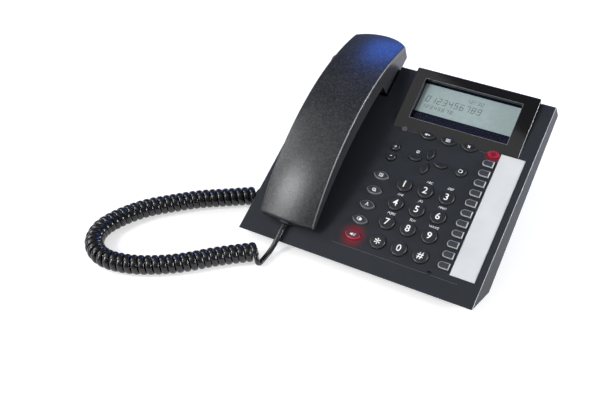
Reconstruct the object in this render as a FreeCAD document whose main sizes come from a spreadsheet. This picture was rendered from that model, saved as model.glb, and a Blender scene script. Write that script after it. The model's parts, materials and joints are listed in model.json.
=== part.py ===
"""Corded desk telephone: a sloping base with keys and a display, and a handset on a curly cord.

Places on the base are given on its slope: across from the left edge, up the slope from the front
tip, and out of the slope's face. One placement, SLOPE, stands that slope up on the floor.
"""
import FreeCAD, Part
import math
import os
import Sketcher

Vector = FreeCAD.Vector
Placement = FreeCAD.Placement
Rotation = FreeCAD.Rotation

# Driving dimensions, in millimetres and degrees
SIZES = {
    # base
    "base_width": 210.0,
    "base_length": 197.5,
    "base_tilt": 25.0,
    "tip_height": 10.0,
    "tip_forward": 102.7,
    "front_run": 27.0,
    "front_depth": 21.0,
    "rear_depth": 12.0,
    "rear_corner_round": 6.0,
    "rim_round": 0.5,
    "side_flare": 9.0,
    "wall": 2.5,
    "top_plate": 3.0,
    "seat_gap": 0.3,
    "snug_gap": 0.2,
    # keys
    "key_gap": 0.3,
    "key_rise": 2.2,
    "key_travel": 1.5,
    "key_lip": 0.9,
    "lip_thick": 0.9,
    "edge_round": 1.1,
    "dial_across": 117.9,
    "dial_up": 28.4,
    "dial_pitch_across": 18.8,
    "dial_pitch_up": 18.8,
    "dial_radius": 6.55,
    "soft_up": 136.3,
    "soft_half_length": 7.0,
    "soft_half_width": 4.0,
    "oval_across": 95.9,
    "oval_up": 26.9,
    "oval_pitch": 14.9,
    "oval_half_length": 7.0,
    "oval_half_width": 4.0,
    "memory_across": 176.0,
    "memory_up": 27.1,
    "memory_pitch": 9.91,
    "memory_length": 9.6,
    "memory_half_width": 3.1,
    "memory_nose": 2.6,
    "pad_across": 127.6,
    "pad_up": 112.2,
    "petal_side_reach": 11.6,
    "petal_up_reach": 7.2,
    "petal_half_length": 5.8,
    "petal_half_width": 3.1,
    "enter_across": 157.7,
    "enter_up": 111.6,
    "enter_radius": 4.6,
    "volume_across": 96.3,
    "volume_up": 111.8,
    "volume_reach": 5.3,
    "volume_radius": 3.8,
    "volume_drop": 5.2,
    "volume_pivot_depth": 4.75,
    "volume_pivot_radius": 0.9,
    "lamp_across": 96.5,
    "lamp_radius": 2.4,
    "signal_across": 176.9,
    "signal_half_length": 5.6,
    "signal_half_width": 3.4,
    "lamp_rise": 1.0,
    # keypad mat and board
    "mat_thick": 1.2,
    "board_thick": 1.6,
    "board_left": 87.0,
    "board_right": 190.0,
    "board_front": 21.5,
    "board_back": 144.0,
    "board_post_radius": 2.5,
    "board_post_left": 107.0,
    "board_post_right": 166.6,
    "board_post_front": 36.0,
    "board_post_back": 98.0,
    # display
    "frame_left": 84.5,
    "frame_right": 197.0,
    "frame_front": 137.0,
    "frame_length": 61.5,
    "frame_slant": 5.1,
    "frame_sink": 1.5,
    "frame_corner_round": 1.6,
    "opening_left": 95.3,
    "opening_right": 183.9,
    "opening_front": 12.0,
    "opening_back": 52.4,
    "window_depth": 5.0,
    "window_thick": 1.5,
    "window_lip": 1.2,
    "skirt_wall": 2.0,
    "panel_thick": 3.0,
    # label strip
    "label_left": 182.7,
    "label_right": 203.9,
    "label_front": 21.6,
    "label_back": 139.5,
    "label_sink": 0.8,
    "label_thick": 0.5,
    # cradle
    "ear_seat_right": 68.0,
    "ear_seat_front": 163.0,
    "ear_seat_depth": 6.0,
    "mouth_seat_left": 21.0,
    "mouth_seat_right": 60.0,
    "mouth_seat_front": 20.0,
    "mouth_seat_back": 58.0,
    "mouth_seat_depth": 3.0,
    "hook_up": 47.0,
    "hook_radius": 4.0,
    "hook_travel": 3.0,
    "hook_length": 9.0,
    # groove, microphone and loudspeaker
    "groove_up": 16.0,
    "groove_left": 81.6,
    "groove_right": 191.9,
    "groove_wide": 0.7,
    "groove_deep": 0.5,
    "mouthpiece_across": 167.2,
    "speaker_up": 113.0,
    "speaker_radius": 17.0,
    "speaker_thick": 7.0,
    "slot_pitch": 5.0,
    "slot_wide": 1.8,
    "slot_half_length": 13.0,
    # screws
    "screw_inset": 8.5,
    "screw_front_up": 68.0,
    "screw_back_up": 152.0,
    "boss_radius": 3.4,
    "screw_radius": 1.3,
    "screw_head_radius": 2.7,
    "screw_head_thick": 1.6,
    "screw_length": 8.0,
    # sockets under the base
    "jack_across": 28.0,
    "jack_up": 71.0,
    "base_plug_length": 12.0,
    "jack_side": 12.0,
    "jack_tall": 11.0,
    "plug_wide": 7.6,
    "plug_thick": 5.4,
    "plug_gap": 0.1,
    "jack_deep": 8.0,
    "line_jack_across": 75.0,
    "line_jack_up": 96.0,
    "line_jack_side": 13.0,
    "line_jack_tall": 9.0,
    "line_hole_long": 9.8,
    "line_hole_wide": 6.8,
    "line_hole_deep": 7.0,
    # feet and stand
    "foot_front": 36.0,
    "foot_length": 12.0,
    "foot_wide": 24.0,
    "foot_inset": 22.0,
    "pad_thick": 2.0,
    "stand_front": 112.0,
    "stand_back": 178.0,
    "stand_toe": 148.0,
    "stand_heel": 174.0,
    "stand_inset": 32.0,
    "stand_wall": 3.0,
    # handset
    "handset_across": 40.7,
    "handset_half_width": 25.4,
    "handset_front": 15.5,
    "handset_back": 224.0,
    "handset_front_bow": 1.3,
    "handset_back_bow": 11.5,
    "crest_up": 112.0,
    "crest_height": 36.3,
    "crest_radius": 200.0,
    "seam_drop": 3.6,
    "arch_up": 104.0,
    "arch_height": 20.5,
    "arch_radius": 270.0,
    "shell": 2.2,
    "ear_block_front": 163.0,
    "ear_block_foot": 167.0,
    "handset_edge_round": 2.0,
    "handset_corner_round": 2.4,
    "mouth_block_front": 23.0,
    "mouth_block_back": 55.0,
    "mouth_block_half_width": 16.5,
    "plug_low": 1.2,
    "plug_shift": 2.5,
    "plug_length": 11.0,
    "plug_proud": 0.5,
    "sound_hole_radius": 0.9,
    "sound_ring_radius": 6.0,
    "ear_capsule_radius": 15.0,
    "ear_capsule_thick": 5.0,
    "ear_capsule_up": 189.0,
    "mouth_capsule_radius": 4.8,
    "mouth_capsule_thick": 4.0,
    "mouth_capsule_up": 40.0,
    # cord
    "strand": 3.9,
    "coil_diameter": 17.0,
    "curl_count": 53.62,
    "first_curl_angle": 45.0,
    "floor_gap": 0.2,
}


class Size:
    """A number together with the sheet formula that it comes from."""

    def __init__(self, value, formula):
        self.value = float(value)
        self.formula = formula

    def join(self, sign, other, value):
        return Size(value, f"({self.formula} {sign} {other.formula})")

    def __add__(self, other):
        other = as_size(other)
        return self.join("+", other, self.value + other.value)

    def __sub__(self, other):
        other = as_size(other)
        return self.join("-", other, self.value - other.value)

    def __mul__(self, other):
        other = as_size(other)
        return self.join("*", other, self.value * other.value)

    def __truediv__(self, other):
        other = as_size(other)
        return self.join("/", other, self.value / other.value)

    def __neg__(self):
        return Size(-self.value, f"(0 - {self.formula})")


def as_size(number):
    if isinstance(number, Size):
        return number
    return Size(number, repr(float(number)))


def sine(angle):
    return Size(math.sin(math.radians(angle.value)), f"sin({angle.formula})")


def cosine(angle):
    return Size(math.cos(math.radians(angle.value)), f"cos({angle.formula})")


def tangent(angle):
    return sine(angle) / cosine(angle)


def root(size):
    return Size(math.sqrt(size.value), f"sqrt({size.formula})")


doc = FreeCAD.newDocument("telephone")
sheet = doc.addObject("Spreadsheet::Sheet", "Sizes")
for row, (name, number) in enumerate(SIZES.items(), start=1):
    sheet.set(f"A{row}", name)
    sheet.set(f"B{row}", str(number))
    sheet.setAlias(f"B{row}", name)
doc.recompute()


class Named:
    """Gives each driving dimension by its name, such as S.base_width."""

    def __getattr__(self, name):
        return Size(SIZES[name], "Sizes." + name)


S = Named()
ZERO = as_size(0)
MARGIN = as_size(1)
nodes = {}

# Where the slope, the floor and the handset stand in the part's frame
half_base = SIZES["base_width"] / 2
FLOOR = Placement(Vector(-half_base, -SIZES["tip_forward"], 0), Rotation())
SLOPE = Placement(Vector(-half_base, -SIZES["tip_forward"], SIZES["tip_height"]),
                  Rotation(Vector(1, 0, 0), SIZES["base_tilt"]))


def on_slope(across, up, out=ZERO):
    """The placement of a piece whose own origin lies at this place on the slope."""
    return SLOPE.multiply(Placement(Vector(across.value, up.value, out.value), Rotation()))


# Sketch and feature helpers

def new_body(label):
    body = doc.addObject("PartDesign::Body", label)
    body.Label = label
    return body


def new_sketch(body, name, role="XY_Plane", lift=ZERO):
    """A sketch on one of the body's own planes, moved along that plane's normal."""
    sketch = body.newObject("Sketcher::SketchObject", name)
    planes = [item for item in body.Origin.OriginFeatures if item.Role == role]
    sketch.AttachmentSupport = [(planes[0], "")]
    sketch.MapMode = "FlatFace"
    sketch.AttachmentOffset = Placement(Vector(0, 0, lift.value), Rotation())
    sketch.setExpression("AttachmentOffset.Base.z", lift.formula)
    return sketch


def tie_point(sketch, shape, corner, x, y):
    for kind, size in (("DistanceX", x), ("DistanceY", y)):
        index = sketch.addConstraint(Sketcher.Constraint(kind, -1, 1, shape, corner, size.value))
        sketch.setExpression(f"Constraints[{index}]", size.formula)


def tie_radius(sketch, shape, radius):
    index = sketch.addConstraint(Sketcher.Constraint("Radius", shape, radius.value))
    sketch.setExpression(f"Constraints[{index}]", radius.formula)


def draw_circle(sketch, x, y, radius):
    circle = Part.Circle(Vector(x.value, y.value, 0), Vector(0, 0, 1), radius.value)
    shape = sketch.addGeometry(circle, False)
    tie_point(sketch, shape, 3, x, y)
    tie_radius(sketch, shape, radius)


def draw_outline(sketch, points, arcs=None):
    """A closed outline, given anticlockwise. arcs maps an edge's index to (radius, hollow)."""
    arcs = arcs or {}
    ends = []
    for index, (x, y) in enumerate(points):
        start = Vector(x.value, y.value, 0)
        next_x, next_y = points[(index + 1) % len(points)]
        end = Vector(next_x.value, next_y.value, 0)
        if index not in arcs:
            shape = sketch.addGeometry(Part.LineSegment(start, end), False)
            ends.append((shape, 1, 2))
            continue
        radius, hollow = arcs[index]
        chord = end - start
        left = Vector(-chord.y, chord.x, 0).normalize()
        reach = math.sqrt(radius.value ** 2 - (chord.Length / 2) ** 2)
        centre = start + chord * 0.5 + left * (-reach if hollow else reach)
        circle = Part.Circle(centre, Vector(0, 0, 1), radius.value)
        first, last = (end, start) if hollow else (start, end)
        begin = math.atan2(first.y - centre.y, first.x - centre.x)
        finish = math.atan2(last.y - centre.y, last.x - centre.x)
        if finish < begin:
            finish += 2 * math.pi
        shape = sketch.addGeometry(Part.ArcOfCircle(circle, begin, finish), False)
        tie_radius(sketch, shape, radius)
        ends.append((shape, 2, 1) if hollow else (shape, 1, 2))
    for index, (shape, start, end) in enumerate(ends):
        after, after_start, _ = ends[(index + 1) % len(ends)]
        sketch.addConstraint(Sketcher.Constraint("Coincident", shape, end, after, after_start))
        tie_point(sketch, shape, start, *points[index])


def draw_box(sketch, left, front, right, back):
    draw_outline(sketch, [(left, front), (right, front), (right, back), (left, back)])


def add_feature(body, kind, name, sketch, length=None, upward=True):
    """A pad or pocket of a sketch, along the sketch's normal when upward."""
    feature = body.newObject("PartDesign::" + kind, name)
    feature.Profile = sketch
    feature.Reversed = upward if kind == "Pocket" else not upward
    if length is None:
        feature.Type = "ThroughAll"
    else:
        feature.setExpression("Length", length.formula)
    sketch.Visibility = False
    doc.recompute()
    return feature


def pad(body, name, sketch, length, upward=True):
    return add_feature(body, "Pad", name, sketch, length, upward)


def pocket(body, name, sketch, length=None, upward=False):
    before = body.Shape.Volume
    feature = add_feature(body, "Pocket", name, sketch, length, upward)
    if not feature.Shape.Volume < before:
        raise ValueError(f"{body.Label}: {name} cuts nothing")
    return feature


def edges_where(shape, test):
    return [f"Edge{number}" for number, edge in enumerate(shape.Edges, start=1) if test(edge)]


def round_edges(body, name, test, radius):
    """Rounds the edges of the body's last feature that pass the test."""
    last = body.Tip
    feature = body.newObject("PartDesign::Fillet", name)
    feature.Base = (last, edges_where(last.Shape, test))
    feature.setExpression("Radius", radius.formula)
    doc.recompute()
    return feature


def keep(label, item, placement):
    """Names a finished piece and stands it in its place."""
    item.Label = label
    item.Placement = placement
    nodes[label] = item
    return item


def part_box(name, wide, deep, tall, corner):
    box = doc.addObject("Part::Box", name)
    box.setExpression("Length", wide.formula)
    box.setExpression("Width", deep.formula)
    box.setExpression("Height", tall.formula)
    box.Placement = Placement(Vector(*[size.value for size in corner]), Rotation())
    return box


def part_disc(name, radius, tall, centre):
    disc = doc.addObject("Part::Cylinder", name)
    disc.setExpression("Radius", radius.formula)
    disc.setExpression("Height", tall.formula)
    disc.Placement = Placement(Vector(*[size.value for size in centre]), Rotation())
    return disc


def part_cut(name, base, tool):
    cut = doc.addObject("Part::Cut", name)
    cut.Base = base
    cut.Tool = tool
    return cut


def part_group(name, items):
    group = doc.addObject("Part::Compound", name)
    group.Links = items
    return group


# Key outlines: each returns a function that draws the outline grown by a clearance or a lip

def round_outline(radius):
    def draw(sketch, x, y, grow):
        draw_circle(sketch, x, y, radius + grow)
    return draw


def leaf_outline(half_length, half_width, upright=False):
    """Two arcs that meet at pointed tips, along X or, when upright, along Y."""
    def draw(sketch, x, y, grow):
        long_half = half_length + grow * 1.5
        wide_half = half_width + grow
        radius = (long_half * long_half + wide_half * wide_half) / (wide_half * 2)
        if upright:
            tips = [(x, y + long_half), (x, y - long_half)]
        else:
            tips = [(x - long_half, y), (x + long_half, y)]
        draw_outline(sketch, tips, {0: (radius, False), 1: (radius, False)})
    return draw


def memory_outline(sketch, x, y, grow):
    """Flat towards the label strip and rounded to a nose on the other side."""
    half = S.memory_half_width + grow
    right = x + S.memory_length / 2 + grow
    left = x - S.memory_length / 2 - grow
    nose = S.memory_nose + grow
    radius = (nose * nose + half * half) / (nose * 2)
    points = [(right, y - half), (right, y + half), (left + nose, y + half), (left + nose, y - half)]
    draw_outline(sketch, points, {2: (radius, False)})


def key_table():
    """Every key that is pressed straight in: its name, place on the slope and outline."""
    keys = []
    dial = round_outline(S.dial_radius)
    rows = (("key_star", "key_0", "key_hash"), ("key_7", "key_8", "key_9"),
            ("key_4", "key_5", "key_6"), ("key_1", "key_2", "key_3"))
    for row, names in enumerate(rows):
        for column, name in enumerate(names):
            across = S.dial_across + S.dial_pitch_across * column
            keys.append((name, across, S.dial_up + S.dial_pitch_up * row, dial))
    soft = leaf_outline(S.soft_half_length, S.soft_half_width)
    for column, name in enumerate(("left", "middle", "right")):
        across = S.dial_across + S.dial_pitch_across * column
        keys.append((f"soft_key_{name}", across, S.soft_up, soft))
    oval = leaf_outline(S.oval_half_length, S.oval_half_width)
    for row, name in enumerate(("speaker_key", "oval_key_1", "oval_key_2", "oval_key_3", "oval_key_4")):
        keys.append((name, S.oval_across, S.oval_up + S.oval_pitch * row, oval))
    for row in range(11):
        up = S.memory_up + S.memory_pitch * row
        keys.append((f"memory_key_{row + 1}", S.memory_across, up, memory_outline))
    lying = leaf_outline(S.petal_half_length, S.petal_half_width)
    standing = leaf_outline(S.petal_half_length, S.petal_half_width, upright=True)
    keys.append(("arrow_left", S.pad_across - S.petal_side_reach, S.pad_up, lying))
    keys.append(("arrow_right", S.pad_across + S.petal_side_reach, S.pad_up, lying))
    keys.append(("arrow_up", S.pad_across, S.pad_up + S.petal_up_reach, standing))
    keys.append(("arrow_down", S.pad_across, S.pad_up - S.petal_up_reach, standing))
    keys.append(("enter_key", S.enter_across, S.enter_up, round_outline(S.enter_radius)))
    return keys


KEYS = key_table()
KEY_FOOT = S.top_plate + S.key_gap + S.lip_thick
MAT_TOP = KEY_FOOT + S.key_travel + S.key_gap
BOARD_TOP = MAT_TOP + S.mat_thick


def underside(up):
    """How deep below the slope's face the flat underside lies, this far up the slope."""
    fall = (S.front_depth - S.rear_depth) / (S.base_length - S.front_run)
    return S.front_depth - (up - S.front_run) * fall


def build_key(name, across, up, draw):
    """A cap that stands out of the base and a lip under the plate that keeps it in."""
    body = new_body(name)
    cap = new_sketch(body, "cap_outline", lift=-KEY_FOOT)
    draw(cap, ZERO, ZERO, ZERO)
    pad(body, "cap", cap, KEY_FOOT + S.key_rise)
    height = SIZES["key_rise"]
    round_edges(body, "rounded_top", lambda edge: abs(edge.BoundBox.ZMin - height) < 0.001, S.edge_round)
    lip = new_sketch(body, "lip_outline", lift=-KEY_FOOT)
    draw(lip, ZERO, ZERO, S.key_lip)
    pad(body, "lip", lip, S.lip_thick)
    keep(name, body, on_slope(across, up))


def build_volume_rocker():
    """Two round pads on one bar under the plate, which rocks on a round pivot at its middle."""
    body = new_body("volume_rocker")
    pads = new_sketch(body, "bar_outline", lift=-S.volume_drop)
    half = S.volume_reach + S.volume_radius
    draw_box(pads, -S.volume_radius, -half, S.volume_radius, half)
    pad(body, "bar", pads, S.lip_thick)
    pivot = new_sketch(body, "pivot_outline", "YZ_Plane", -S.volume_radius)
    draw_circle(pivot, ZERO, -S.volume_pivot_depth, S.volume_pivot_radius)
    pad(body, "pivot", pivot, S.volume_radius * 2)
    caps = new_sketch(body, "cap_outlines", lift=-S.volume_drop)
    draw_circle(caps, ZERO, S.volume_reach, S.volume_radius)
    draw_circle(caps, ZERO, -S.volume_reach, S.volume_radius)
    pad(body, "caps", caps, S.volume_drop + S.key_rise)
    height = SIZES["key_rise"]
    round_edges(body, "rounded_top", lambda edge: abs(edge.BoundBox.ZMin - height) < 0.001, S.edge_round)
    keep("volume_rocker", body, on_slope(S.volume_across, S.volume_up))


def build_upper_housing():
    """The top plate with its sides: a wedge with an undercut front and flared sides."""
    body = new_body("upper_housing")
    flare = S.front_depth * tangent(S.side_flare)
    side = new_sketch(body, "side_outline", "YZ_Plane", -flare)
    draw_outline(side, [(ZERO, ZERO), (S.front_run, -S.front_depth),
                        (S.base_length, -S.rear_depth), (S.base_length, ZERO)])
    pad(body, "block", side, S.base_width + flare * 2)
    sides = new_sketch(body, "flare_outline", "XZ_Plane", MARGIN)
    outer = flare + MARGIN
    draw_outline(sides, [(ZERO, ZERO), (ZERO, MARGIN), (-outer, MARGIN),
                         (-outer, -S.front_depth), (-flare, -S.front_depth)])
    right = S.base_width
    draw_outline(sides, [(right, ZERO), (right + flare, -S.front_depth),
                         (right + outer, -S.front_depth), (right + outer, MARGIN), (right, MARGIN)])
    pocket(body, "flared_sides", sides)

    def at_rear_left(edge):
        box = edge.BoundBox
        return box.YMin > SIZES["base_length"] - 0.01 and box.XMax < 0.01

    round_edges(body, "rear_corner", at_rear_left, S.rear_corner_round)

    def beside_the_face(edge):
        box = edge.BoundBox
        return box.ZMin > -0.01 and box.YMax > SIZES["front_run"]

    round_edges(body, "soft_rim", beside_the_face, S.rim_round)
    run = S.front_run / S.front_depth
    shift = S.wall * root(run * run + 1)
    deep = S.front_depth + MARGIN * 2
    hollow = new_sketch(body, "hollow_outline", "YZ_Plane", S.wall)
    back = S.base_length - S.wall
    draw_outline(hollow, [(S.top_plate * run + shift, -S.top_plate), (deep * run + shift, -deep),
                          (back, -deep), (back, -S.top_plate)])
    pocket(body, "hollow", hollow, S.base_width - S.wall * 2, upward=True)
    add_cradle(body)
    add_bosses(body)
    add_display_seat(body)
    cut_key_holes(body)
    cut_small_openings(body)
    keep("upper_housing", body, SLOPE)


def add_cradle(body):
    """A sunk seat for the handset's mouth end and one, open at the corner, for its ear end."""
    wall = S.wall
    mouth = new_sketch(body, "mouth_tray_outline", lift=-S.mouth_seat_depth - wall)
    draw_box(mouth, S.mouth_seat_left - wall, S.mouth_seat_front - wall,
             S.mouth_seat_right + wall, S.mouth_seat_back + wall)
    pad(body, "mouth_tray", mouth, S.mouth_seat_depth + wall - MARGIN)
    seat = new_sketch(body, "mouth_seat_outline")
    draw_box(seat, S.mouth_seat_left, S.mouth_seat_front, S.mouth_seat_right, S.mouth_seat_back)
    pocket(body, "mouth_seat", seat, S.mouth_seat_depth)
    ear = new_sketch(body, "ear_tray_outline", lift=-S.ear_seat_depth - wall)
    draw_box(ear, wall / 2, S.ear_seat_front - wall, S.ear_seat_right + wall, S.base_length - wall / 2)
    pad(body, "ear_tray", ear, S.ear_seat_depth + wall - MARGIN)
    ear_seat = new_sketch(body, "ear_seat_outline")
    draw_box(ear_seat, -wall - MARGIN, S.ear_seat_front, S.ear_seat_right, S.base_length + MARGIN)
    pocket(body, "ear_seat", ear_seat, S.ear_seat_depth)
    hook = new_sketch(body, "hook_hole_outline")
    draw_circle(hook, S.handset_across, S.hook_up, S.hook_radius + S.snug_gap)
    pocket(body, "hook_hole", hook, S.mouth_seat_depth + wall + MARGIN)


def screw_places():
    """Where the four screws stand: across and up the slope."""
    right = S.base_width - S.screw_inset
    return [(across, up) for up in (S.screw_front_up, S.screw_back_up)
            for across in (S.screw_inset, right)]


def add_bosses(body):
    """Four posts under the plate that the screws from below bite into."""
    for number, (across, up) in enumerate(screw_places(), start=1):
        post = new_sketch(body, f"post_outline_{number}", lift=-S.top_plate)
        draw_circle(post, across, up, S.boss_radius)
        pad(body, f"post_{number}", post, post_length(up), upward=False)
        bore = new_sketch(body, f"post_bore_outline_{number}", lift=-S.top_plate - post_length(up))
        draw_circle(bore, across, up, S.screw_radius)
        pocket(body, f"post_bore_{number}", bore, S.screw_length, upward=True)


def post_length(up):
    return underside(up) - S.wall - S.seat_gap - S.top_plate


def add_display_seat(body):
    """A shallow step for the display frame and the hole that its skirt drops into."""
    step = new_sketch(body, "frame_step_outline")
    gap = S.snug_gap
    draw_box(step, S.frame_left - gap, S.frame_front - gap, S.frame_right + gap, S.base_length + MARGIN)
    pocket(body, "frame_step", step, S.frame_sink)
    hole = new_sketch(body, "display_hole_outline")
    skirt = S.skirt_wall + MARGIN
    draw_box(hole, S.opening_left - skirt, S.frame_front + S.opening_front - skirt,
             S.opening_right + skirt, S.frame_front + S.opening_back + skirt)
    pocket(body, "display_hole", hole, S.top_plate + MARGIN)
    label = new_sketch(body, "label_seat_outline")
    draw_box(label, S.label_left, S.label_front, S.label_right, S.label_back)
    pocket(body, "label_seat", label, S.label_sink)


def cut_key_holes(body):
    """One hole through the plate for each key, the rocker's pads and the lamps."""
    for name, across, up, draw in KEYS:
        hole = new_sketch(body, name + "_hole_outline")
        draw(hole, across, up, S.key_gap)
        pocket(body, name + "_hole", hole, S.top_plate + S.seat_gap)
    holes = new_sketch(body, "volume_hole_outlines")
    for reach in (S.volume_reach, -S.volume_reach):
        draw_circle(holes, S.volume_across, S.volume_up + reach, S.volume_radius + S.key_gap * 2)
    pocket(body, "volume_holes", holes, S.top_plate + S.seat_gap)
    lamps = new_sketch(body, "lamp_hole_outlines")
    for draw, across in LAMPS:
        draw(lamps, across, S.soft_up, S.snug_gap)
    pocket(body, "lamp_holes", lamps, S.top_plate + S.seat_gap)


LAMPS = ((round_outline(S.lamp_radius), S.lamp_across),
         (leaf_outline(S.signal_half_length, S.signal_half_width), S.signal_across))


def cut_small_openings(body):
    """The fine groove along the front, the microphone's slot and the loudspeaker's slots."""
    groove = new_sketch(body, "groove_outline")
    draw_box(groove, S.groove_left, S.groove_up, S.groove_right, S.groove_up + S.groove_wide)
    pocket(body, "groove", groove, S.groove_deep)
    slot = new_sketch(body, "microphone_outline")
    leaf_outline(S.lamp_radius, S.groove_wide)(slot, S.mouthpiece_across, S.groove_up + S.lamp_radius, ZERO)
    pocket(body, "microphone_slot", slot, S.top_plate + S.seat_gap)
    slots = new_sketch(body, "speaker_slot_outlines")
    for number in range(-2, 3):
        middle = S.speaker_up + S.slot_pitch * number
        draw_box(slots, S.handset_across - S.slot_half_length, middle - S.slot_wide / 2,
                 S.handset_across + S.slot_half_length, middle + S.slot_wide / 2)
    pocket(body, "speaker_slots", slots, S.top_plate + S.seat_gap)


def build_lower_housing():
    """The flat cover that closes the base from below."""
    body = new_body("lower_housing")
    run = S.front_run / S.front_depth
    front = S.front_run + S.wall * root(run * run + 1) + S.seat_gap
    back = S.base_length - S.wall - S.seat_gap
    side = new_sketch(body, "side_outline", "YZ_Plane", S.wall + S.snug_gap)
    draw_outline(side, [(front, -underside(front)), (back, -underside(back)),
                        (back, -underside(back) + S.wall), (front, -underside(front) + S.wall)])
    pad(body, "plate", side, S.base_width - (S.wall + S.snug_gap) * 2)
    holes = new_sketch(body, "screw_hole_outlines", lift=-S.front_depth - MARGIN)
    for across, up in screw_places():
        draw_circle(holes, across, up, S.screw_radius + S.snug_gap)
    pocket(body, "screw_holes", holes, upward=True)
    sockets = new_sketch(body, "socket_hole_outlines", lift=-S.front_depth - MARGIN)
    for across, up, wide, tall in (
            (S.jack_across, S.jack_up, S.plug_wide, S.plug_thick),
            (S.line_jack_across, S.line_jack_up, S.line_hole_wide, S.line_hole_long)):
        half_wide = wide / 2 + MARGIN
        half_tall = tall / 2 + MARGIN
        draw_box(sockets, across - half_wide, up - half_tall, across + half_wide, up + half_tall)
    pocket(body, "socket_holes", sockets, upward=True)
    keep("lower_housing", body, SLOPE)


# The display stands on a slant of its own, hinged at its front edge
DISPLAY = on_slope(ZERO, S.frame_front).multiply(
    Placement(Vector(), Rotation(Vector(1, 0, 0), SIZES["frame_slant"])))


def build_display_frame():
    """A wedge round the display, flush in front and raised behind, with a skirt for the window."""
    body = new_body("display_frame")
    lean = sine(S.frame_slant)
    rise = cosine(S.frame_slant)
    tall = S.frame_length * lean + S.frame_sink
    side = new_sketch(body, "side_outline", "YZ_Plane", S.frame_left)
    draw_outline(side, [(-(S.frame_sink * lean), -(S.frame_sink * rise)),
                        (S.frame_length - tall * lean, -(tall * rise)),
                        (S.frame_length, ZERO), (ZERO, ZERO)])
    pad(body, "wedge", side, S.frame_right - S.frame_left)

    def at_rear_corners(edge):
        box = edge.BoundBox
        return box.YMin > SIZES["frame_length"] - 1 and box.XLength < 0.01

    def round_the_face(edge):
        box = edge.BoundBox
        return box.ZMin > -0.01 and box.YMax > 1

    round_edges(body, "rear_corners", at_rear_corners, S.frame_corner_round)
    round_edges(body, "soft_rim", round_the_face, S.rim_round)
    depth = S.window_depth + S.window_thick
    skirt = new_sketch(body, "skirt_outline", lift=-depth)
    draw_opening(skirt, S.skirt_wall)
    pad(body, "skirt", skirt, depth - S.skirt_wall / 4)
    opening = new_sketch(body, "opening_outline")
    draw_opening(opening, ZERO)
    pocket(body, "opening", opening)
    rebate = new_sketch(body, "rebate_outline", lift=-depth)
    draw_opening(rebate, S.window_lip)
    pocket(body, "rebate", rebate, S.window_thick, upward=True)
    corner = new_sketch(body, "label_corner_outline")
    draw_box(corner, S.label_left - S.snug_gap, -MARGIN,
             S.frame_right + MARGIN, S.label_back - S.frame_front + S.snug_gap)
    pocket(body, "label_corner", corner)
    for name, across, up, draw in KEYS:
        if name.startswith("soft_key"):
            notch = new_sketch(body, name + "_notch_outline")
            draw(notch, across, up - S.frame_front, S.key_gap)
            pocket(body, name + "_notch", notch)
    for number, (draw, across) in enumerate(LAMPS, start=1):
        notch = new_sketch(body, f"lamp_notch_outline_{number}")
        draw(notch, across, S.soft_up - S.frame_front, S.snug_gap)
        pocket(body, f"lamp_notch_{number}", notch)
    keep("display_frame", body, DISPLAY)


def draw_opening(sketch, grow):
    draw_box(sketch, S.opening_left - grow, S.opening_front - grow,
             S.opening_right + grow, S.opening_back + grow)


def display_plate(name, grow, thick, top):
    """A flat plate under the display's opening, its top face this far down."""
    plate = part_box(name, S.opening_right - S.opening_left + grow * 2,
                     S.opening_back - S.opening_front + grow * 2, thick,
                     (S.opening_left - grow, S.opening_front - grow, -top - thick))
    keep(name, plate, DISPLAY.multiply(plate.Placement))


def build_display():
    build_display_frame()
    display_plate("display_window", S.window_lip - S.snug_gap, S.window_thick, S.window_depth)
    display_plate("lcd_panel", S.window_lip - S.snug_gap, S.panel_thick, S.window_depth + S.window_thick)


def build_lamps():
    """The small round lamp and the red message lamp beside the soft keys."""
    lamps = []
    for number, (draw, across) in enumerate(LAMPS, start=1):
        body = new_body(f"lamp_{number}")
        outline = new_sketch(body, "outline", lift=-BOARD_TOP)
        draw(outline, ZERO, ZERO, ZERO)
        pad(body, "light_pipe", outline, BOARD_TOP + S.lamp_rise)
        body.Placement = Placement(Vector(across.value, SIZES["soft_up"], 0), Rotation())
        lamps.append(body)
    keep("indicator_lamps", part_group("lamps", lamps), SLOPE)


def board_posts():
    return [(across, up) for across in (S.board_post_left, S.board_post_right)
            for up in (S.board_post_front, S.board_post_back)]


def build_keypad_mat():
    """The rubber sheet between the keys and the board, with holes for the posts and lamps."""
    body = new_body("keypad_mat")
    sheet_outline = new_sketch(body, "outline", lift=-BOARD_TOP)
    draw_box(sheet_outline, S.board_left, S.board_front, S.board_right, S.board_back)
    pad(body, "sheet", sheet_outline, S.mat_thick)
    holes = new_sketch(body, "hole_outlines", lift=-BOARD_TOP)
    for across, up in board_posts():
        draw_circle(holes, across, up, S.board_post_radius + S.snug_gap)
    for draw, across in LAMPS:
        draw(holes, across, S.soft_up, S.snug_gap)
    pocket(body, "holes", holes, upward=True)
    keep("keypad_mat", body, SLOPE)


def build_board():
    board = part_box("main_board", S.board_right - S.board_left, S.board_back - S.board_front,
                     S.board_thick, (S.board_left, S.board_front, -BOARD_TOP - S.board_thick))
    keep("main_board", board, SLOPE.multiply(board.Placement))


def build_label_card():
    gap = S.snug_gap
    card = part_box("label_card", S.label_right - S.label_left - gap * 2,
                    S.label_back - S.label_front - gap * 2, S.label_thick,
                    (S.label_left + gap, S.label_front + gap, -S.label_sink))
    keep("label_card", card, SLOPE.multiply(card.Placement))


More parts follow.
